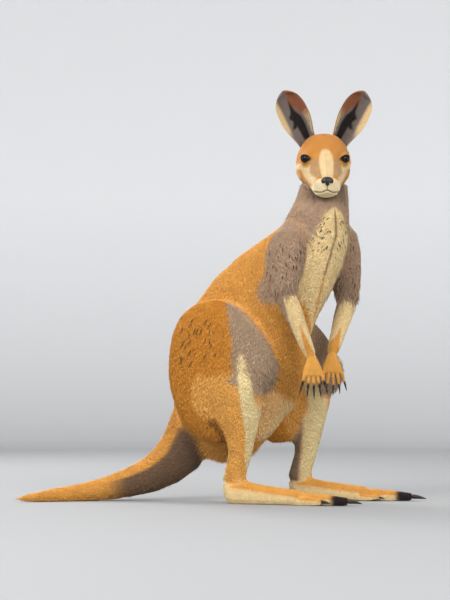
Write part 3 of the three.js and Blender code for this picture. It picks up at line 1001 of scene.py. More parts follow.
class Hue(Enum):
    """The coat's colours, and the painted shade and light laid on it, as sRGB hex values."""

    BODY = "#D09542"
    HAUNCH = "#C48328"
    BACK_RIM_LIGHT = "#F0CD9B"
    # the calf's own orange, painted lighter than the body as painted light to offset the shade low on the leg
    CALF = "#DCA24F"
    GREY = "#AA8D73"
    THIGH_GREY = "#A88E73"
    CREAM = "#E7C894"
    # the shins' own cream, painted lighter than the chest's cream as painted light to offset the shade on the lower
    # legs
    SHIN = "#EFCE9B"
    # the belly's own pale colour, painted lighter still as painted light to offset the shade under the belly
    BELLY = "#E8B87C"
    TAIL_SIDE = "#6E543C"
    TAIL_DARK = "#4E4236"
    NOTCH = "#8C5A12"
    TOE = "#1C100A"
    MUZZLE_TIP = "#FFE4B4"
    MUZZLE_SIDE = "#BD915C"
    CHEEK_STRIPE = "#C48830"
    FOREHEAD = "#CF8B38"
    EAR_GREY = "#7D7069"
    EAR_RUST = "#965A3C"
    EAR_DEEP = "#17110E"
    NECK_SHADE = "#7D6A56"
    SHANK_SHADE = "#8C765F"
    PARTING = "#4A3018"
    FLECK = "#33231A"
    RUMP_FLECK = "#5F3C10"
    LID = "#1C120C"

    @property
    def light(self) -> np.ndarray:
        """The colour in linear light."""
        return linear(self.value)


@dataclass
class Markings:
    """Paints the coat's pattern, with some painted shade and light, from the animal's own forms, alike on both sides.
    """

    points: np.ndarray
    normals: np.ndarray
    parts: np.ndarray
    names: list[str]
    net: Net
    face: FaceShaper
    lift: float = 0.22  # how much lighter the longer coat is, as its tufts shade each other

    def __post_init__(self) -> None:
        """Starts from the body's own colour."""
        self.colours = np.tile(Hue.BODY.light, (len(self.points), 1))
        self.height = self.points[:, 2] / MM
        self.front, self.left = SPINE.round_it(self.points)

    def share(self, *kinds: str, rounds: int = 3) -> np.ndarray:
        """How much each vertex belongs to the named kinds of part."""
        member = np.array([family(name) in kinds for name in self.names])[self.parts]
        return self.net.spread(member.astype(float), rounds)

    def paint(self, hue: Hue, cover: np.ndarray) -> None:
        """Lays a colour over the pattern where cover is 1."""
        self.colours += np.clip(cover, 0, 1)[:, None] * (hue.light - self.colours)

    def chest_half(self) -> np.ndarray:
        """Half the pale chest's width at each vertex's height, in millimetres."""
        heights = (470, 520, 560, 600, 650, 720, 770, 800, 822)
        teeth = 5 * np.abs((self.height / 17) % 1 - 0.5) + 4 * np.abs((self.height / 29) % 1 - 0.5)
        return np.interp(self.height, heights, (4, 20, 44, 64, 74, 70, 52, 28, 2)) - teeth * ramp(self.height, 800, 780)

    def knee_view(self) -> tuple[np.ndarray, np.ndarray]:
        """Each vertex's place beside its own side's knee, forward and up, in millimetres."""
        knees = {side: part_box(f"thigh_{side.label}")[1][0] / MM for side in Side}
        mine = np.where(self.points[:, 1] < SPINE.aside * MM, knees[Side.RIGHT], knees[Side.LEFT])
        return self.points[:, 0] / MM - mine, self.height

    def outward(self) -> np.ndarray:
        """The sign of Y that leads away from the animal's middle at each vertex."""
        return np.sign(self.points[:, 1] - SPINE.aside * MM)

    def trunk(self) -> None:
        """Neck, shoulders, back, chest and belly."""
        trunk = self.share("trunk", "neck")
        aside = np.abs(self.left)
        back = ramp(-self.front, 20, 70) * ramp(aside, 50, 4) * ramp(self.height, 330, 460)
        # painted highlight: a pale edge along the back, as if lit from behind
        self.paint(Hue.BACK_RIM_LIGHT, trunk * back * ramp(self.height, 820, 720) * 0.42)
        grey_from = 742 - 0.9 * np.clip(self.front, -60, 60)
        nape = ramp(-self.front, 10, 56) * ramp(aside, 44, 4)
        grey = ramp(self.height, grey_from - 16, grey_from + 16) * (1 - 0.85 * nape)
        flank = inside([(-80, 840), (-62, 770), (-44, 700), (-2, 640), (6, 590), (30, 560), (150, 540), (150, 840)],
                       self.front, self.height, 14) * ramp(aside, 34, 60)
        self.paint(Hue.GREY, np.maximum(trunk * grey, trunk * flank))
        width = self.chest_half()
        chest = ramp(width - aside, -4, 4) * ramp(self.front, 0, 25) * ramp(self.height, 470, 480)
        self.paint(Hue.CREAM, trunk * chest * ramp(self.height, 824, 812))
        line = np.exp(-((self.left / 2.6) ** 2)) * ramp(self.front, 0, 25) * ramp(self.height, 812, 800)
        self.paint(Hue.PARTING, trunk * line * ramp(self.height, 610, 640) * 0.85)
        self.paint(Hue.HAUNCH, trunk * line * ramp(self.height, 500, 530) * ramp(self.height, 640, 610))
        shade = ramp(self.height, 826, 850) * ramp(self.front, 6, 40) * ramp(aside, 66, 40)
        self.paint(Hue.NECK_SHADE, self.share("neck") * shade)

    def belly(self) -> None:
        """The pale belly and the darker groin below it."""
        trunk = self.share("trunk")
        top = 345 - 0.85 * np.clip(self.front - 110, 0, 90)
        pale = ramp(self.front, -30, 10) * ramp(self.height, 168, 186) * ramp(top - self.height, -8, 8)
        self.paint(Hue.BELLY, trunk * pale)
        self.paint(Hue.CREAM, trunk * pale * ramp(np.abs(self.left), 60, 30) * 0.6)

    def haunch(self) -> None:
        """Thigh and shank: dark rump, grey knee front, pale shin."""
        fore, up = self.knee_view()
        thigh = self.share("thigh", rounds=5)
        legs = self.share("thigh", "shin", rounds=3)
        self.paint(Hue.HAUNCH, thigh)
        calf = inside([(-236, 298), (-231, 341), (-211, 355), (-108, 358), (-70, 330), (-50, 200), (-60, 40),
                       (-150, 40), (-134, 128), (-142, 170), (-150, 213), (-162, 230), (-185, 233), (-214, 244),
                       (-231, 270)], fore, up, 7)
        self.paint(Hue.CALF, legs * calf)
        notch = inside([(-185, 234), (-162, 234), (-145, 206), (-136, 170), (-133, 118), (-140, 114), (-145, 136),
                        (-168, 150), (-154, 159), (-168, 168), (-150, 182), (-164, 207), (-182, 214)], fore, up, 4)
        self.paint(Hue.NOTCH, legs * notch * ramp(self.normals[:, 1] * self.outward(), -0.1, 0.2))
        grey = inside([(-170, 620), (-128, 520), (-112, 440), (-110, 352), (-128, 340), (-84, 318), (-66, 240),
                       (-50, 300), (40, 300), (40, 640)], fore, up, 8)
        self.paint(Hue.THIGH_GREY, legs * grey)
        stripe = inside([(-96, 400), (-84, 414), (-74, 400), (-58, 340), (-34, 200), (-30, 60), (-80, 60),
                         (-84, 100), (-76, 200), (-92, 330)], fore, up, 7)
        self.paint(Hue.SHIN, legs * stripe)
        shin = self.share("shin")
        self.paint(Hue.SHIN, shin * ramp(fore, -78, -68) * ramp(up, 300, 250))
        heel = ramp(-self.normals[:, 0], 0.45 + (up - 50) / 220, 0.6 + (up - 50) / 220) * ramp(up, 160, 140)
        self.paint(Hue.SHIN, shin * heel)
        inner = ramp(-self.normals[:, 1] * self.outward(), 0.1, 0.5)
        self.paint(Hue.SHIN, shin * inner)
        self.paint(Hue.SHANK_SHADE, shin * inner * ramp(fore + 0.3 * (300 - up) * 0.3, -88, -104))

    def tail(self) -> None:
        """Orange above, with painted shade in brown on the sides and below and a darker painted shadow under the rump,
        fading to orange towards the tip.
        """
        tail = self.share("tail", rounds=5)
        upward = self.normals[:, 2] - 0.9 * self.normals[:, 0]
        along = self.points[:, 0] / MM
        # painted shade: brown where the tail faces down and back near its base, and a darker painted shadow where it
        # faces forward under the rump
        low = ramp(upward, 0.45, 0.15) * ramp(along, -330, -250)
        self.paint(Hue.TAIL_SIDE, tail * low)
        self.paint(Hue.TAIL_DARK, tail * low * ramp(self.normals[:, 0], 0.0, 0.7) * ramp(self.height, 60, 190))

    def feet(self) -> None:
        """Orange insteps, cream sides and heels, dark toes."""
        foot = self.share("foot")
        self.paint(Hue.CREAM, foot * ramp(self.normals[:, 2], 0.3, 0.0))
        for side in Side:
            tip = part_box(f"foot_{side.label}")[1][0] / MM
            mine = (self.points[:, 1] < SPINE.aside * MM) == (side is Side.RIGHT)
            self.paint(Hue.CREAM, foot * mine * ramp(self.points[:, 0] / MM, tip - 310, tip - 335))
            self.paint(Hue.TOE, foot * mine * ramp(self.points[:, 0] / MM, tip - 52, tip - 34))

    def arms(self) -> None:
        """Grey upper arms, cream forearms with an orange wedge and a grey rear, orange hands, dark fingertips."""
        self.paint(Hue.GREY, self.share("upper_arm"))
        forearm = self.share("forearm", rounds=2)
        self.paint(Hue.CREAM, forearm)
        self.paint(Hue.BODY, self.share("hand", rounds=6))
        for side in Side:
            mine = self.share("forearm", "hand", rounds=1) * (
                (self.points[:, 1] < SPINE.aside * MM) == (side is Side.RIGHT))
            wrist = hand_axes(side).origin
            elbow = end_of(f"forearm_{side.label}", UP)
            way = unit(wrist - elbow)
            above = (wrist - self.points) @ way / MM
            share = above / (np.linalg.norm(wrist - elbow) / MM)
            shown_side = along_surface(np.array([[0.25, -1.0, 0.0]]), way[None])[0]
            half = 0.8 * (1 - np.clip(above, 0, None) / 95)
            wedge = ramp(half - np.abs(self.normals @ np.cross(way, shown_side)), -0.08, 0.08)
            self.paint(Hue.BODY, mine * wedge * ramp(self.normals @ shown_side, -0.1, 0.2) * (above > -20))
            rear = self.normals @ unit(np.array([-1.0, 0.0, -0.35])) - 0.1 - 1.3 * (1 - share)
            self.paint(Hue.GREY, forearm * mine * ramp(rear, -0.1, 0.1) * (share < 1.2))
            away = np.min([np.linalg.norm(self.points - root, axis=1) for root in claw_roots("hand", side)], axis=0)
            self.paint(Hue.TOE, mine * ramp(away / MM, 17, 9))

    def head(self) -> None:
        """The face: orange crown, cream blaze, cheeks and muzzle, ochre stripe and dark lids."""
        local = HEAD.into(self.points)
        x, y, z = local.T
        aside = np.abs(y)
        fall = 0.866 * z - 0.5 * x  # height as seen by someone the animal faces
        head = self.share("head", "nose", "eye", rounds=2)
        self.paint(Hue.FOREHEAD, head)
        fore_face = ramp(x, -74, -48)
        cheek = ramp(fall, -8, -16) * ramp(aside, 26, 34)
        self.paint(Hue.CREAM, head * cheek * fore_face)
        self.paint(Hue.CREAM, head * ramp(z, -50, -60) * fore_face)
        self.paint(Hue.GREY, head * ramp(fall, -20, -50) * (1 - fore_face))
        for side in Side:
            sx, sy, sz = self.face.eye_place(side)
            under = inside([(-15, -2), (15, -2), (13, -20), (0, -27), (-12, -18)],
                           (y - sy) * side.value, fall - (0.866 * sz - 0.5 * sx), 6)
            self.paint(Hue.CHEEK_STRIPE, head * under)
        stripe = inside([(80, -20), (80, -48), (62, -64), (46, -82), (38, -80), (48, -64), (58, -46), (64, -30)],
                        aside, fall, 6)
        self.paint(Hue.CHEEK_STRIPE, head * stripe * ramp(x, -62, -44))
        side_patch = inside([(0, -4), (30, -4), (42, -20), (45, -42), (36, -60), (0, -62)], aside, fall, 6)
        self.paint(Hue.MUZZLE_SIDE, head * side_patch * ramp(x, -10, 4))
        blaze = inside([(0, 24), (10, 20), (18, 4), (20, -20), (17, -50), (14, -66), (0, -66)], aside, fall, 5)
        self.paint(Hue.CREAM, head * blaze * ramp(x, -34, -26))
        lobe = np.hypot(np.clip(aside - 14, 0, None) / 25, np.clip(fall + 90, 0, None) / 24)
        tip = ramp(x, 52, 66) * ramp(lobe, 1.08, 0.92)
        self.paint(Hue.MUZZLE_TIP, head * tip)
        mark = np.exp(-((y / 3.0) ** 2)) * inside([(-60, 0), (-44, 0), (-44, 90), (-60, 90)], x, z, 6)
        self.paint(Hue.EAR_RUST, head * mark)
        lips = np.exp(-((self.face.mouth_line(local) / 1.4) ** 2)) * ramp(x, 38, 48)
        cleft = np.exp(-((y / 1.1) ** 2)) * ramp(z, -52, -48) * ramp(z, -30, -36) * ramp(x, 92, 100)
        self.paint(Hue.LID, head * np.maximum(lips, cleft))
        for side in Side:
            edge, reach, above, across = self.face.opening(local, side)
            wide = np.where(above > 0, 1.0, 0.4) * (1 - 0.7 * ramp(across, 42, 66))
            dark = ramp(edge, 16 * wide, 9 * wide) * ramp(reach, 21.5, 19.5)
            self.paint(Hue.LID, head * dark)

    def ears(self) -> None:
        """Orange backs, grey hollows with painted black shade in their depths, rust inner rims and cream outer rims."""
        ears = self.share("ear", rounds=1)
        local = HEAD.into(self.points)
        for side in Side:
            axes = ear_axes(side)
            mine = ears * (np.sign(local[:, 1]) == side.value)
            _, across, up = axes.into(self.points).T
            inner = across * -side.value  # towards the crown
            facing = self.normals @ axes.turn[:, 0]
            hollow = mine * ramp(facing, 0.0, 0.25)
            self.paint(Hue.EAR_GREY, hollow)
            self.paint(Hue.EAR_RUST, hollow * inside([(6, 160), (-6, 120), (10, 104), (20, 78), (60, 70), (60, 190),
                                                      (-20, 190)], inner, up, 5))
            # painted shade: black down the deepest part of each hollow
            hollow_shade = inside([(-6, 10), (12, 12), (16, 50), (14, 78), (4, 100), (0, 134), (-8, 98), (-20, 84),
                           (-12, 70), (-24, 50), (-8, 52)], inner, up, 4)
            self.paint(Hue.EAR_DEEP, hollow * hollow_shade)
            rim = ramp(-inner, 25, 33) * ramp(up, 20, 60)
            self.paint(Hue.CREAM, mine * rim * ramp(facing, -0.7, -0.2))

    def made(self) -> np.ndarray:
        """Paints every part and returns the colours in linear light."""
        for step in (self.trunk, self.belly, self.tail, self.haunch, self.feet, self.arms, self.head, self.ears):
            step()
        longer = 1 - self.share("head", "nose", "eye", "ear", rounds=20)
        return np.clip(self.colours * (1 + self.lift * longer[:, None]), 0, 0.96)


@dataclass
class LockPlan:
    """Says where longer tufts break the coat's form."""

    marks: Markings

    def patches(self) -> list[LockPatch]:
        """Lists every patch of longer tufts."""
        return [*self.breaks(), *self.fore_half(), *self.hind_half(), *self.face()]

    def breaks(self) -> list[LockPatch]:
        """Stray locks all over the body and a fringe under the belly."""
        marks = self.marks
        body = marks.share("trunk", "neck", "thigh", "tail", "upper_arm")
        limbs = marks.share("shin", "forearm")
        under = marks.share("trunk") * ramp(marks.height, 180, 150)
        return [
            LockPatch("body locks", body, spacing=13, length=19, width=1.7, rise=13),
            LockPatch("limb locks", limbs, spacing=12, length=12, width=1.3, rise=12),
            LockPatch("belly fringe", under, spacing=6, length=19, width=1.9, rise=22),
        ]

    def fore_half(self) -> list[LockPatch]:
        """The ragged edge of the grey shoulder on the pale chest, the elbows' fringe and the dark flecks."""
        marks = self.marks
        trunk = marks.share("trunk", "neck")
        aside = np.abs(marks.left)
        chest = trunk * ramp(marks.front, 10, 25) * ramp(marks.height, 560, 600) * ramp(marks.height, 800, 780)
        past = aside - marks.chest_half()
        edge = chest * ramp(past, 0, 4) * ramp(past, 18, 12)
        low = np.where(marks.points[:, 1] < SPINE.aside * MM, *[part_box(f"upper_arm_{s.label}")[0][2] / MM for s in Side])
        arm = marks.share("upper_arm")
        elbow = arm * ramp(marks.height, low + 44, low + 30)
        flecks = chest * ramp(marks.height, 690, 705) * ramp(aside, 9, 14) * ramp(aside, 52, 44)
        shoulder = arm * ramp(marks.height, 605, 620) * ramp(marks.height, 735, 720)
        down = np.array([0.0, 0.0, -0.8])
        return [
            LockPatch("chest edge", edge, 4.6, 22, 2.0, 8, Hue.GREY, down, 0.4),
            LockPatch("elbow fringe", elbow, 3.8, 22, 2.2, 15, Hue.GREY),
            LockPatch("chest flecks", flecks, 12, 15, 2.8, 11, Hue.FLECK),
            LockPatch("shoulder flecks", shoulder, 24, 20, 2.8, 12, Hue.FLECK),
        ]

    def hind_half(self) -> list[LockPatch]:
        """The knees' fringe and the dark flecks on the rump."""
        marks = self.marks
        fore, up = marks.knee_view()
        thigh = marks.share("thigh")
        knee = thigh * ramp(fore, -26, -10) * ramp(up, 250, 280) * ramp(up, 420, 390)
        rump = thigh * ramp(fore, -285, -270) * ramp(fore, -150, -165) * ramp(up, 385, 400) * ramp(up, 530, 515)
        forward = np.array([0.5, 0.0, -1.0])
        return [
            LockPatch("knee fringe", knee, 3.6, 23, 2.2, 20, Hue.THIGH_GREY, forward),
            LockPatch("rump flecks", rump, 24, 25, 3.4, 11, Hue.RUMP_FLECK),
        ]

    def face(self) -> list[LockPatch]:
        """The cheeks' ruff and the pale hairs at the ears' inner rims."""
        marks = self.marks
        x, y, z = HEAD.into(marks.points).T
        ruff = marks.share("head") * ramp(x, -84, -70) * ramp(x, -28, -44) * ramp(z, 6, -10)
        found = [LockPatch("cheek ruff", ruff, 2.8, 10, 1.2, 17)]
        ears = marks.share("ear", rounds=1)
        for side in Side:
            axes = ear_axes(side)
            _, across, up = axes.into(marks.points).T
            inner = across * -side.value
            mine = ears * (np.sign(y) == side.value) * (marks.normals @ axes.turn[:, 0] > 0)
            rim = mine * ramp(inner, 22, 28) * ramp(up, 14, 24) * ramp(up, 96, 60)
            way = axes.direction((0.1, side.value * 0.4, 1.0))
            found.append(LockPatch(f"ear fringe {side.label}", rim, 2.0, 10, 0.65, 11, Hue.CREAM, way))
        return found

    def knee_hairs(self) -> tuple[LockPatch, np.ndarray, np.ndarray]:
        """Two long hairs at the right knee: their patch, their spots and their ways."""
        spots, ways = [], []
        side = Side.RIGHT
        knee = end_of(f"thigh_{side.label}", np.array([0.9, side.value * 0.25, -0.3]), 0.04)
        for rise, fall in ((6.0, -0.42), (-6.0, -0.75)):
            spots.append(knee + rise * MM * UP)
            ways.append([0.9, side.value * 0.3, fall])
        patch = LockPatch("knee hairs", np.zeros(1), 1, 58, 4.2, 4, Hue.TOE)
        return patch, np.array(spots), np.array(ways)


# ---------------------------------------------------------------- tufts


class Form(Enum):
    """A tuft's make: rows of (share of length, share of height, share of width)."""

    BLADE = ()
    LOCK = ((0.28, 0.5, 1.0), (0.66, 0.85, 0.7))


@dataclass(frozen=True)
class LockPatch:
    """A patch of longer tufts, in millimetres and degrees."""

    name: str
    cover: np.ndarray  # at each of the skin's vertices, the share of the usual number
    spacing: float
    length: float
    width: float
    rise: float
    hue: Hue | None = None  # None keeps the skin's own marking
    way: np.ndarray | None = None  # None keeps the lie of the coat
    to_middle: float = 0.0  # how much the way turns to the animal's middle


@dataclass
class Roots:
    """Where tufts grow, and each one's size, way and colour."""

    points: np.ndarray
    normals: np.ndarray
    flow: np.ndarray
    unwrap: np.ndarray
    length: np.ndarray
    width: np.ndarray
    rise: np.ndarray
    colours: np.ndarray

    def pick(self, chosen: np.ndarray) -> Roots:
        """The roots at the chosen numbers or flags."""
        return Roots(*[getattr(self, name)[chosen] for name in self.__dataclass_fields__])


@dataclass
class TuftMaker:
    """Grows closed tufts out of the skin."""

    skin: Skin
    seed: int = 7
    sink: float = 0.6 * MM
    ridge: float = 0.4  # a blade's highest place, as a share of its length
    patch: float = 0.003
    most_faces: int = 190_000

    def __post_init__(self) -> None:
        """Reads the skin's triangles and its unwrap."""
        mesh = self.skin.mesh
        mesh.calc_loop_triangles()
        self.corners = read(mesh.loop_triangles, "vertices", 3, np.int32)
        loops = read(mesh.loop_triangles, "loops", 3, np.int32)
        unwrap = read(mesh.uv_layers[UNWRAP].uv, "vector", 2)
        self.corner_unwrap = unwrap[loops]
        self.random = np.random.default_rng(self.seed)
        a, b, c = (self.skin.points[self.corners[:, i]] for i in range(3))
        self.areas = np.linalg.norm(np.cross(b - a, c - a), axis=1) / 2

    def at_corners(self, values: np.ndarray, chosen: np.ndarray, weights: np.ndarray) -> np.ndarray:
        """Values at places within the chosen triangles."""
        rows = values[self.corners[chosen]]
        return np.einsum("ij,ij...->i...", weights, rows)

    def scattered(self, per_area: np.ndarray) -> Roots:
        """Scatters roots over the skin.

        Args:
            per_area: at each vertex, how many roots grow on a square metre.

        Returns:
            The roots, with the sizes and colours of the short coat.
        """
        skin = self.skin
        expected = self.areas * per_area[self.corners].mean(axis=1)
        total = np.cumsum(expected)
        count = int(total[-1])
        ticks = (np.arange(count) + self.random.random(count)) * total[-1] / count
        chosen = np.minimum(np.searchsorted(total, ticks), len(total) - 1)
        spots = self.random.random((count, 2))
        flip = spots.sum(axis=1) > 1
        spots[flip] = 1 - spots[flip]
        weights = np.column_stack([1 - spots.sum(axis=1), spots])
        normals = unit(self.at_corners(skin.normals, chosen, weights))
        return Roots(
            points=self.at_corners(skin.points, chosen, weights),
            normals=normals,
            flow=along_surface(self.at_corners(skin.flow, chosen, weights), normals),
            unwrap=np.einsum("ij,ijk->ik", weights, self.corner_unwrap[chosen]),
            length=self.at_corners(skin.lay["length"], chosen, weights) * MM,
            width=self.at_corners(skin.lay["width"], chosen, weights) * MM,
            rise=np.radians(self.at_corners(skin.lay["rise"], chosen, weights)),
            colours=self.at_corners(skin.colours, chosen, weights),
        )

    def short(self) -> Roots:
        """The roots of the short coat."""
        return self.varied(self.scattered(self.skin.lay["grows"] / (self.skin.lay["spacing"] * MM) ** 2))

    def locks(self, patch: LockPatch) -> Roots:
        """The roots of one patch of longer tufts."""
        roots = self.scattered(patch.cover * (self.skin.lay["grows"] > 0.5) / (patch.spacing * MM) ** 2)
        return self.dressed(roots, patch)

    def single(self, patch: LockPatch, spots: np.ndarray, ways: np.ndarray) -> Roots:
        """One root at the skin's vertex nearest to each given spot, with its own way."""
        nearest = [int(np.argmin(np.linalg.norm(self.skin.points - spot, axis=1))) for spot in spots]
        unwrap = [self.corner_unwrap[np.argmax((self.corners == n).any(axis=1))].mean(axis=0) for n in nearest]
        ways = unit(ways)
        normals = along_surface(self.skin.normals[nearest], ways)
        count = np.ones(len(nearest))
        roots = Roots(self.skin.points[nearest], normals, ways, np.array(unwrap), count, count, count,
                      self.skin.colours[nearest])
        return self.dressed(roots, patch)

    def dressed(self, roots: Roots, patch: LockPatch) -> Roots:
        """Gives roots a patch's sizes, way and colour."""
        count = np.ones(len(roots.points))
        roots.length = patch.length * MM * count
        roots.width = patch.width * MM * count
        roots.rise = math.radians(patch.rise) * count
        if patch.hue is not None:
            roots.colours = np.tile(patch.hue.light, (len(count), 1))
        if patch.way is not None:
            way = patch.way * np.ones((len(count), 1))
            if patch.to_middle:
                _, left = SPINE.round_it(roots.points)
                way = way - np.sign(left)[:, None] * patch.to_middle * SPINE.leftward(roots.points)
            roots.flow = along_surface(way, roots.normals)
        return self.varied(roots)

    def above_floor(self, roots: Roots) -> Roots:
        """Drops the roots whose tufts would reach the floor."""
        tips = roots.points + roots.length[:, None] * (
            np.cos(roots.rise)[:, None] * roots.flow + np.sin(roots.rise)[:, None] * roots.normals
        )
        low = np.minimum(tips[:, 2], roots.points[:, 2] - self.sink * roots.normals[:, 2])
        return roots.pick(low > 0.4 * MM)

    def varied(self, roots: Roots) -> Roots:
        """Gives each tuft a little of its own length, way and shade."""
        count = len(roots.points)
        roots.length = roots.length * self.random.uniform(0.72, 1.25, count)
        roots.width = roots.width * self.random.uniform(0.75, 1.2, count)
        roots.rise = roots.rise * self.random.uniform(0.6, 1.35, count)
        across = np.cross(roots.normals, roots.flow)
        roots.flow = unit(roots.flow + across * self.random.normal(0, 0.13, count)[:, None])
        shade = self.random.normal(1, 0.09, count)[:, None]
        roots.colours = roots.colours * np.clip(shade, 0.7, 1.3)
        return self.above_floor(roots)

    def mesh(self, name: str, roots: Roots, form: Form) -> bpy.types.Mesh:
        """Makes one joined mesh of closed tufts.

        Args:
            name: the mesh's name.
            roots: where they grow.
            form: how many rows each tuft has between its root and its tip.

        Returns:
            The mesh, with its colours and its unwrap.
        """
        if form is Form.BLADE:
            return self.blades(name, roots)
        rows = form.value
        across = np.cross(roots.normals, roots.flow)
        reach = (roots.length * np.cos(roots.rise))[:, None] * roots.flow
        climb = (roots.length * np.sin(roots.rise))[:, None] * roots.normals
        half = (roots.width / 2)[:, None] * across
        thick = (roots.width * 0.32)[:, None] * roots.normals
        base = roots.points - self.sink * roots.normals
        corners = [base]
        flat = [(0.0, -0.5)]
        for share, lift, breadth in rows:
            middle_row = base + share * reach + lift * climb
            corners += [middle_row - breadth * half, middle_row + breadth * half, middle_row + breadth * thick]
            flat += [(-0.5, share - 0.5), (0.5, share - 0.5), (0.0, share - 0.5)]
        corners.append(base + reach + climb)
        flat.append((0.0, 0.5))
        faces = [(0, 1, 3), (0, 3, 2), (0, 2, 1)]
        for row in range(len(rows) - 1):
            a, b, c = (1 + 3 * row + i for i in range(3))
            for low, high in ((a, c), (c, b), (b, a)):
                faces += [(low, low + 3, high + 3), (low, high + 3, high)]
        last = 3 * len(rows) - 2
        tip = len(corners) - 1
        faces += [(last, tip, last + 2), (last + 2, tip, last + 1), (last + 1, tip, last)]
        return self.joined(name, roots, np.stack(corners, axis=1), np.array(faces), np.array(flat))

    def blades(self, name: str, roots: Roots) -> bpy.types.Mesh:
        """Makes one joined mesh of flat tufts with a ridge, closed below."""
        half = (roots.width / 2)[:, None] * np.cross(roots.normals, roots.flow)
        reach = (roots.length * np.cos(roots.rise))[:, None] * roots.flow
        climb = (roots.length * np.sin(roots.rise))[:, None] * roots.normals
        thick = (roots.width * 0.3)[:, None] * roots.normals
        base = roots.points - 0.5 * self.sink * roots.normals
        ridge = base + self.ridge * reach + 1.5 * self.ridge * climb + thick
        corners = np.stack([base - half, base + half, ridge, base + reach + climb], axis=1)
        flat = np.array([(-0.5, -0.5), (0.5, -0.5), (0.0, self.ridge - 0.5), (0.0, 0.5)])
        faces = np.array([(0, 3, 2), (1, 2, 3), (0, 2, 1), (0, 1, 3)])
        return self.joined(name, roots, corners, faces, flat)

    def joined(self, name: str, roots: Roots, corners: np.ndarray, faces: np.ndarray, flat: np.ndarray
               ) -> bpy.types.Mesh:
        """Builds the mesh of all tufts from one tuft's faces and each tuft's corners."""
        count, size = corners.shape[:2]
        mesh = bpy.data.meshes.new(name)
        mesh.vertices.add(count * size)
        mesh.vertices.foreach_set("co", corners.ravel())
        index = (faces[None] + (np.arange(count) * size)[:, None, None]).ravel()
        mesh.loops.add(len(index))
        mesh.loops.foreach_set("vertex_index", index.astype(np.int32))
        mesh.polygons.add(len(index) // 3)
        mesh.polygons.foreach_set("loop_start", np.arange(0, len(index), 3, dtype=np.int32))
        mesh.update(calc_edges=True)
        share = (flat[:, 1] + 0.5)[None, :, None]
        tone = 0.92 + 0.26 * share
        put_colour(mesh, (roots.colours[:, None] * tone).reshape(-1, 3))
        unwrap = np.clip(roots.unwrap[:, None] + self.patch * flat[None], 0, 1).reshape(-1, 2)
        layer = mesh.uv_layers.new(name=UNWRAP)
        layer.uv.foreach_set("vector", unwrap[index].astype(np.float32).ravel())
        return mesh


# ---------------------------------------------------------------- finishes


@dataclass(frozen=True)
class HideFinish:
    """Undercoat on hide: matt, mottled, with fine lines that follow the lie of the coat, painted darker as shade deep
    in the coat.
    """

    name: str = "undercoat on hide"
    line: float = 1.2 * MM
    mottle: float = 18 * MM
    roughness: float = 0.82
    # painted shade: how much darker the hide is drawn, as the coat over it shades it
    darker: float = 0.8

    def made(self) -> bpy.types.Material:
        """Builds the material."""
        material = bpy.data.materials.new(self.name)
        material.use_nodes = True
        tree = material.node_tree
        shader = tree.nodes["Principled BSDF"]
        coat = add_node(tree, "ShaderNodeAttribute", attribute_name=COLOUR)
        lie = add_node(tree, "ShaderNodeAttribute", attribute_name=LIE)
        place_ = add_node(tree, "ShaderNodeTexCoord")
        lines = add_node(tree, "ShaderNodeTexNoise", {"Vector": lie.outputs["Vector"], "Scale": 1 / self.line,
                                                      "Detail": 3.0, "Roughness": 0.6})
        blotch = add_node(tree, "ShaderNodeTexNoise", {"Vector": place_.outputs["Object"], "Scale": 1 / self.mottle,
                                                       "Detail": 4.0})
        tone = add_node(tree, "ShaderNodeMapRange", {"Value": lines.outputs["Fac"], "From Min": 0.3, "From Max": 0.7,
                                                     "To Min": 0.72 * self.darker, "To Max": 1.12 * self.darker})
        wide = add_node(tree, "ShaderNodeMapRange", {"Value": blotch.outputs["Fac"], "From Min": 0.3,
                                                     "From Max": 0.7, "To Min": 0.9, "To Max": 1.08})
        both = add_node(tree, "ShaderNodeMath", {0: tone.outputs[0], 1: wide.outputs[0]}, operation="MULTIPLY")
        colour = add_node(tree, "ShaderNodeVectorMath", {0: coat.outputs["Color"], 3: both.outputs[0]},
                          operation="SCALE")
        bump = add_node(tree, "ShaderNodeBump", {"Height": lines.outputs["Fac"], "Strength": 0.5,
                                                 "Distance": 0.6 * MM})
        tree.links.new(colour.outputs[0], shader.inputs["Base Color"])
        tree.links.new(bump.outputs[0], shader.inputs["Normal"])
        shader.inputs["Roughness"].default_value = self.roughness
        shader.inputs["Sheen Weight"].default_value = 0.15
        shader.inputs["Specular IOR Level"].default_value = 0.25
        return material


@dataclass(frozen=True)
class TuftFinish:
    """Guard hair: dull at the root and lighter at the tip, with a soft silky light along it."""

    name: str = "guard hair"
    mottle: float = 30 * MM
    roughness: float = 0.62

    def made(self) -> bpy.types.Material:
        """Builds the material."""
        material = bpy.data.materials.new(self.name)
        material.use_nodes = True
        tree = material.node_tree
        shader = tree.nodes["Principled BSDF"]
        coat = add_node(tree, "ShaderNodeAttribute", attribute_name=COLOUR)
        place_ = add_node(tree, "ShaderNodeTexCoord")
        blotch = add_node(tree, "ShaderNodeTexNoise", {"Vector": place_.outputs["Object"], "Scale": 1 / self.mottle,
                                                       "Detail": 5.0, "Roughness": 0.65})
        wide = add_node(tree, "ShaderNodeMapRange", {"Value": blotch.outputs["Fac"], "From Min": 0.3,
                                                     "From Max": 0.7, "To Min": 0.9, "To Max": 1.1})
        colour = add_node(tree, "ShaderNodeVectorMath", {0: coat.outputs["Color"], 3: wide.outputs[0]},
                          operation="SCALE")
        tree.links.new(colour.outputs[0], shader.inputs["Base Color"])
        shader.inputs["Roughness"].default_value = self.roughness
        shader.inputs["Sheen Weight"].default_value = 0.1
        shader.inputs["Specular IOR Level"].default_value = 0.3
        return material


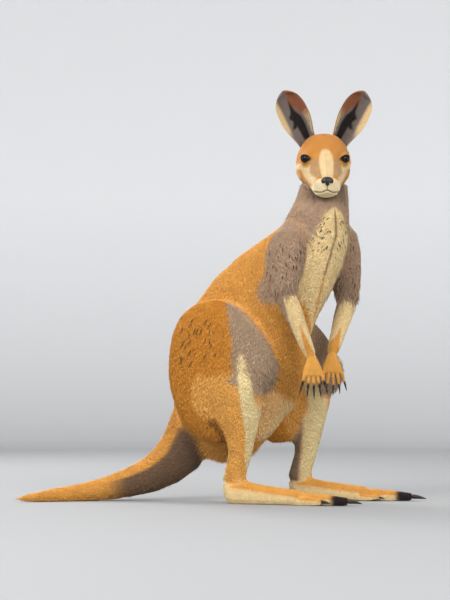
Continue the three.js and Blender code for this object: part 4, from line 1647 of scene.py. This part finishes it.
@dataclass(frozen=True)
class EyeFinish:
    """Wet eye: a near-black brown iris round a black pupil, under a clear glossy film."""

    name: str = "wet eye"
    iris: str = "#1E0F06"
    pupil: str = "#040202"

    def made(self, centre: np.ndarray, gaze: np.ndarray, radius: float) -> bpy.types.Material:
        """Builds the material for one eyeball.

        Args:
            centre: the eyeball's middle.
            gaze: the way it looks.
            radius: its radius.

        Returns:
            The material.
        """
        material = bpy.data.materials.new(self.name)
        material.use_nodes = True
        tree = material.node_tree
        shader = tree.nodes["Principled BSDF"]
        coords = add_node(tree, "ShaderNodeTexCoord")
        away = add_node(tree, "ShaderNodeVectorMath", {0: coords.outputs["Object"], 1: tuple(centre + gaze * radius)},
                        operation="DISTANCE")
        streaks = add_node(tree, "ShaderNodeTexNoise", {"Vector": coords.outputs["Object"], "Scale": 900.0,
                                                        "Detail": 3.0})
        wobble = add_node(tree, "ShaderNodeMath", {0: streaks.outputs["Fac"], 1: 0.0012, 2: away.outputs["Value"]},
                          operation="MULTIPLY_ADD")
        shade = add_node(tree, "ShaderNodeMapRange", {"Value": wobble.outputs[0], "From Min": 0.40 * radius,
                                                      "From Max": 0.62 * radius})
        colour = add_node(tree, "ShaderNodeMix", {"Factor": shade.outputs[0], "A": (*linear(self.pupil), 1),
                                                  "B": (*linear(self.iris), 1)}, data_type="RGBA")
        tree.links.new(colour.outputs["Result"], shader.inputs["Base Color"])
        shader.inputs["Roughness"].default_value = 0.05
        shader.inputs["IOR"].default_value = 1.336
        return material


@dataclass(frozen=True)
class PadFinish:
    """Nose leather: black hairless skin in fine pebbles, damp enough to shine between them."""

    name: str = "damp nose leather"
    colour: str = "#14100E"
    worn: str = "#2C2420"
    pebble: float = 1.1 * MM

    def made(self) -> bpy.types.Material:
        """Builds the material."""
        material = bpy.data.materials.new(self.name)
        material.use_nodes = True
        tree = material.node_tree
        shader = tree.nodes["Principled BSDF"]
        coords = add_node(tree, "ShaderNodeTexCoord")
        cells = add_node(tree, "ShaderNodeTexVoronoi", {"Vector": coords.outputs["Object"], "Scale": 1 / self.pebble})
        shade = add_node(tree, "ShaderNodeMapRange", {"Value": cells.outputs["Distance"], "From Max": 0.7})
        colour = add_node(tree, "ShaderNodeMix", {"Factor": shade.outputs[0], "A": (*linear(self.worn), 1),
                                                  "B": (*linear(self.colour), 1)}, data_type="RGBA")
        bump = add_node(tree, "ShaderNodeBump", {"Height": cells.outputs["Distance"], "Strength": 0.55,
                                                 "Distance": 0.35 * MM}, invert=True)
        tree.links.new(colour.outputs["Result"], shader.inputs["Base Color"])
        tree.links.new(bump.outputs[0], shader.inputs["Normal"])
        shader.inputs["Roughness"].default_value = 0.34
        return material


@dataclass(frozen=True)
class HornFinish:
    """Claw horn: near-black keratin with fine growth lines."""

    name: str = "claw horn"
    dark: str = "#17110D"
    light: str = "#4A3A2C"
    line: float = 1.4 * MM

    def made(self) -> bpy.types.Material:
        """Builds the material."""
        material = bpy.data.materials.new(self.name)
        material.use_nodes = True
        tree = material.node_tree
        shader = tree.nodes["Principled BSDF"]
        coords = add_node(tree, "ShaderNodeTexCoord")
        lines = add_node(tree, "ShaderNodeTexNoise", {"Vector": coords.outputs["Object"], "Scale": 1 / self.line,
                                                      "Detail": 4.0, "Roughness": 0.55})
        shade = add_node(tree, "ShaderNodeMapRange", {"Value": lines.outputs["Fac"], "From Min": 0.45,
                                                      "From Max": 0.85})
        colour = add_node(tree, "ShaderNodeMix", {"Factor": shade.outputs[0], "A": (*linear(self.dark), 1),
                                                  "B": (*linear(self.light), 1)}, data_type="RGBA")
        bump = add_node(tree, "ShaderNodeBump", {"Height": lines.outputs["Fac"], "Strength": 0.3,
                                                 "Distance": 0.3 * MM})
        tree.links.new(colour.outputs["Result"], shader.inputs["Base Color"])
        tree.links.new(bump.outputs[0], shader.inputs["Normal"])
        shader.inputs["Roughness"].default_value = 0.38
        return material


# ---------------------------------------------------------------- eyes, nose, claws


@dataclass
class Features:
    """The pieces that stay separate from the skin."""

    face: FaceShaper

    def eyes(self) -> list[bpy.types.Object]:
        """Makes the two eyeballs, each with a slightly bulging cornea."""
        made = []
        for side in Side:
            name = f"eye_{side.label}"
            low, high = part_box(name)
            radius = (high[2] - low[2]) / 2
            centre = middle(name)
            gaze = HEAD.turn @ self.face.eye_axes(side)[0]
            ball = bmesh.new()
            bmesh.ops.create_uvsphere(ball, u_segments=48, v_segments=32, radius=radius)
            turn = Vector((0, 0, 1)).rotation_difference(Vector(gaze)).to_matrix().to_4x4()
            for vertex in ball.verts:
                bulge = max(0.0, vertex.co.z / radius - 0.72)
                vertex.co *= 1 + 0.16 * bulge
            bmesh.ops.transform(ball, matrix=Matrix.Translation(Vector(centre)) @ turn, verts=ball.verts)
            mesh = bpy.data.meshes.new(name + "_ball")
            ball.to_mesh(mesh)
            ball.free()
            mesh.shade_smooth()
            piece = shown(name + "_ball", mesh, EyeFinish().made(centre, gaze, radius))
            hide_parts(name)
            made.append(piece)
        return made

    def nose(self) -> bpy.types.Object:
        """Makes the nose pad, a rounded triangle with two comma-shaped nostrils."""
        pad = bmesh.new()
        bmesh.ops.create_icosphere(pad, subdivisions=6, radius=1.0)
        centre = HEAD.into(middle("nose")[None])[0]
        for vertex in pad.verts:
            x, y, z = vertex.co
            narrow = 1 - 0.3 * max(0.0, -z) ** 1.2 + 0.06 * max(0.0, z)
            vertex.co = (x * 14.5, y * 19.0 * narrow, z * 14.5)
            aside = abs(vertex.co.y)
            curl = math.hypot((aside - 9.2) / 4.6, (vertex.co.z - 0.5 + 0.35 * (aside - 9)) / 2.7)
            slot = math.hypot((aside - 13.5) / 3.2, (vertex.co.z + 2.6) / 1.7)
            depth = 4.6 * math.exp(-(curl**4)) + 3.0 * math.exp(-(slot**4))
            rim = 0.9 * math.exp(-(((curl - 1.5) / 0.4) ** 2))
            cleft = 1.3 * math.exp(-((y * 19 / 1.3) ** 2)) * (1.0 if z < 0.1 else 0.4)
            if x > 0:
                vertex.co.x += rim - depth - cleft
        lean = Matrix.Rotation(math.radians(20), 4, "Y")
        matrix = Matrix(HEAD.turn.tolist()).to_4x4() @ Matrix.Translation(Vector(centre) * MM) @ lean
        matrix = Matrix.Translation(Vector(HEAD.origin)) @ matrix @ Matrix.Scale(MM, 4)
        bmesh.ops.transform(pad, matrix=matrix, verts=pad.verts)
        mesh = bpy.data.meshes.new("nose_pad")
        pad.to_mesh(mesh)
        pad.free()
        mesh.shade_smooth()
        piece = shown("nose_pad", mesh, PadFinish().made())
        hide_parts("nose")
        return piece

    def claws(self) -> list[bpy.types.Object]:
        """Makes the claws of each foot and hand as smooth horn."""
        made = []
        finish = HornFinish().made()
        for limb in ("foot", "hand"):
            for side in Side:
                nodes = sorted(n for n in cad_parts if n.startswith(f"claw_{limb}_{side.label}"))
                whole = bmesh.new()
                for node in nodes:
                    copy = merged_copy(node)
                    mesh = bpy.data.meshes.new(node)
                    copy.to_mesh(mesh)
                    copy.free()
                    whole.from_mesh(mesh)
                mesh = bpy.data.meshes.new(f"claws_{limb}_{side.label}")
                whole.to_mesh(mesh)
                whole.free()
                piece = shown(mesh.name, mesh, finish)
                smooth = piece.modifiers.new("round", "SUBSURF")
                smooth.levels = smooth.render_levels = 2
                mesh.shade_smooth()
                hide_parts(*nodes)
                made.append(piece)
        return made


# ---------------------------------------------------------------- the whole animal


@dataclass
class Kangaroo:
    """Builds the skin, its markings, the coat and the separate pieces."""

    face: FaceShaper = field(default_factory=FaceShaper)
    maker: SkinMaker = field(default_factory=SkinMaker)
    marks: Markings | None = None

    def skin(self) -> Skin:
        """Makes the sculpted, marked and unwrapped skin."""
        mesh = self.maker.made()
        LOG.info("flesh joined and evened: %d faces", len(mesh.polygons))
        self.face.shape(mesh)
        layer = CoatLayer(mesh, self.maker.finder, self.face)
        skin = layer.made()
        mesh.calc_loop_triangles()
        LOG.info("skin sunk: %d triangles", len(mesh.loop_triangles))
        self.marks = Markings(skin.points, skin.normals, skin.parts, skin.names, layer.net, self.face)
        skin.colours = self.marks.made()
        put_colour(mesh, skin.colours)
        self.store_lie(skin)
        mesh.shade_smooth()
        piece = shown("skin", mesh, HideFinish().made())
        self.unwrap(piece)
        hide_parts(*[name for name in skin.names if name not in BARE])
        return skin

    @staticmethod
    def store_lie(skin: Skin) -> None:
        """Stores each vertex's place, squeezed along the lie of the coat so that noise there draws out in lines."""
        stretch = 9.0
        centres = Net(skin.mesh).spread(np.array([middle(name) for name in skin.names])[skin.parts], 30)
        beside = skin.points - centres
        squeezed = skin.points - (1 - 1 / stretch) * rows_dot(beside, skin.flow)[:, None] * skin.flow
        attribute = skin.mesh.attributes.new(LIE, "FLOAT_VECTOR", "POINT")
        attribute.data.foreach_set("vector", squeezed.astype(np.float32).ravel())

    @staticmethod
    def unwrap(piece: bpy.types.Object) -> None:
        """Unwraps the skin by its own shape."""
        piece.data.uv_layers.new(name=UNWRAP)
        bpy.context.view_layer.objects.active = piece
        for other in bpy.context.selected_objects:
            other.select_set(False)
        piece.select_set(True)
        bpy.ops.object.mode_set(mode="EDIT")
        bpy.ops.mesh.select_all(action="SELECT")
        bpy.ops.uv.smart_project(angle_limit=math.radians(66), island_margin=0.002)
        bpy.ops.object.mode_set(mode="OBJECT")
        piece.select_set(False)

    def coat(self, skin: Skin) -> list[bpy.types.Object]:
        """Grows the coat: the short tufts, shared out over pieces that are small enough, and the longer locks."""
        tufts = TuftMaker(skin)
        roots = tufts.short()
        each = tufts.most_faces // 4
        finish = TuftFinish().made()
        meshes = [
            tufts.mesh(f"coat_{number}", roots.pick(slice(start, start + each)), Form.BLADE)
            for number, start in enumerate(range(0, len(roots.points), each), 1)
        ]
        plan = LockPlan(self.marks)
        grown = [tufts.locks(patch) for patch in plan.patches()]
        grown.append(tufts.single(*plan.knee_hairs()))
        fields = Roots.__dataclass_fields__
        longer = Roots(*[np.concatenate([getattr(one, name) for one in grown]) for name in fields])
        each = tufts.most_faces // 12
        meshes += [
            tufts.mesh(f"locks_{number}", longer.pick(slice(start, start + each)), Form.LOCK)
            for number, start in enumerate(range(0, len(longer.points), each), 1)
        ]
        pieces = []
        for mesh in meshes:
            pieces.append(shown(mesh.name, mesh, finish))
            LOG.info("%s: %d faces", mesh.name, len(mesh.polygons))
        return pieces


@dataclass(frozen=True)
class Studio:
    """A plain pale floor, soft lights and the camera."""

    eye: tuple[float, float, float] = (1.16465, -4.33046, 0.30)
    target: tuple[float, float, float] = (-0.00003, 0.01620, 0.56818)
    pixels_per_radian: float = 1584.0
    image_height: int = 600
    sensor: float = 36.0

    def camera(self) -> bpy.types.Object:
        """Places the camera and makes it the scene's."""
        data = bpy.data.cameras.new("camera")
        data.sensor_width = self.sensor
        data.lens = self.sensor * self.pixels_per_radian / self.image_height
        camera = bpy.data.objects.new("camera", data)
        bpy.context.scene.collection.objects.link(camera)
        camera.location = self.eye
        look = Vector(self.target) - Vector(self.eye)
        camera.rotation_euler = look.to_track_quat("-Z", "Y").to_euler()
        bpy.context.scene.camera = camera
        return camera

    def floor(self) -> bpy.types.Object:
        """Makes the round floor, which rises to a backdrop on every side in one sweep."""
        reach, bend, rise, steps = 4.9, 4.0, 6.5, 96
        profile = [Vector((0, 0, 0)), Vector((reach, 0, 0))]
        for step in range(1, 13):
            angle = math.radians(90 * step / 12)
            profile.append(Vector((reach + bend * math.sin(angle), 0, bend * (1 - math.cos(angle)))))
        profile.append(Vector((reach + bend, 0, rise)))
        sheet = bmesh.new()
        line = [sheet.verts.new(point) for point in profile]
        edges = [sheet.edges.new(pair) for pair in zip(line, line[1:])]
        bmesh.ops.spin(sheet, geom=[*line, *edges], cent=(0, 0, 0), axis=(0, 0, 1), angle=math.tau, steps=steps,
                       use_merge=True)
        bmesh.ops.remove_doubles(sheet, verts=sheet.verts, dist=0.001)
        bmesh.ops.recalc_face_normals(sheet, faces=sheet.faces)
        mesh = bpy.data.meshes.new("floor")
        sheet.to_mesh(mesh)
        sheet.free()
        mesh.shade_smooth()
        material = bpy.data.materials.new("matt paper")
        material.use_nodes = True
        tree = material.node_tree
        shader = tree.nodes["Principled BSDF"]
        coords = add_node(tree, "ShaderNodeTexCoord")
        away = add_node(tree, "ShaderNodeVectorMath", {0: coords.outputs["Object"]}, operation="LENGTH")
        tone = add_node(tree, "ShaderNodeMapRange", {"Value": away.outputs["Value"], "From Min": 4.2, "From Max": 8.5,
                                                     "To Min": 0.34, "To Max": 0.8})
        tree.links.new(tone.outputs[0], shader.inputs["Base Color"])
        shader.inputs["Roughness"].default_value = 0.9
        mesh.materials.append(material)
        floor = bpy.data.objects.new("floor", mesh)
        bpy.context.scene.collection.objects.link(floor)
        floor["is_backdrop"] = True
        return floor

    def lamp(self, name: str, at: tuple[float, float, float], size: float, power: float) -> None:
        """Hangs one soft square lamp that points at the animal's middle."""
        data = bpy.data.lights.new(name, "AREA")
        data.size = size
        data.energy = power
        lamp = bpy.data.objects.new(name, data)
        bpy.context.scene.collection.objects.link(lamp)
        lamp.location = at
        look = Vector((0.1, 0, 0.55)) - Vector(at)
        lamp.rotation_euler = look.to_track_quat("-Z", "Y").to_euler()

    def made(self) -> None:
        """Sets up camera, floor, lamps and the air's own light."""
        self.camera()
        self.floor()
        self.lamp("key", (-1.4, -2.8, 2.6), 2.0, 88)
        self.lamp("fill", (3.4, -3.2, 2.2), 2.2, 96)
        self.lamp("back", (-2.2, 1.8, 2.4), 1.4, 60)
        world = bpy.data.worlds.new("studio air")
        world.use_nodes = True
        world.node_tree.nodes["Background"].inputs["Color"].default_value = (0.95, 0.97, 1.0, 1)
        world.node_tree.nodes["Background"].inputs["Strength"].default_value = 1.15
        bpy.context.scene.world = world
        bpy.context.scene.view_settings.view_transform = "Standard"


def main() -> None:
    """Builds the studio and the animal."""
    logging.basicConfig(level=logging.INFO, format="%(name)s: %(message)s", stream=sys.stdout)
    began = time.perf_counter()
    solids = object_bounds()
    Studio().made()
    animal = Kangaroo()
    skin = animal.skin()
    LOG.info("skin done after %.1f s", time.perf_counter() - began)
    features = Features(animal.face)
    for piece in (*features.eyes(), features.nose(), *features.claws()):
        LOG.info("%s: %d faces", piece.name, len(piece.data.polygons))
    animal.coat(skin)
    LOG.info("all done after %.1f s", time.perf_counter() - began)
    boxes = {"solids": solids, "visual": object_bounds()}
    {name: [list(corner) for corner in box] for name, box in boxes.items()}


if __name__ == "__main__":
    main()
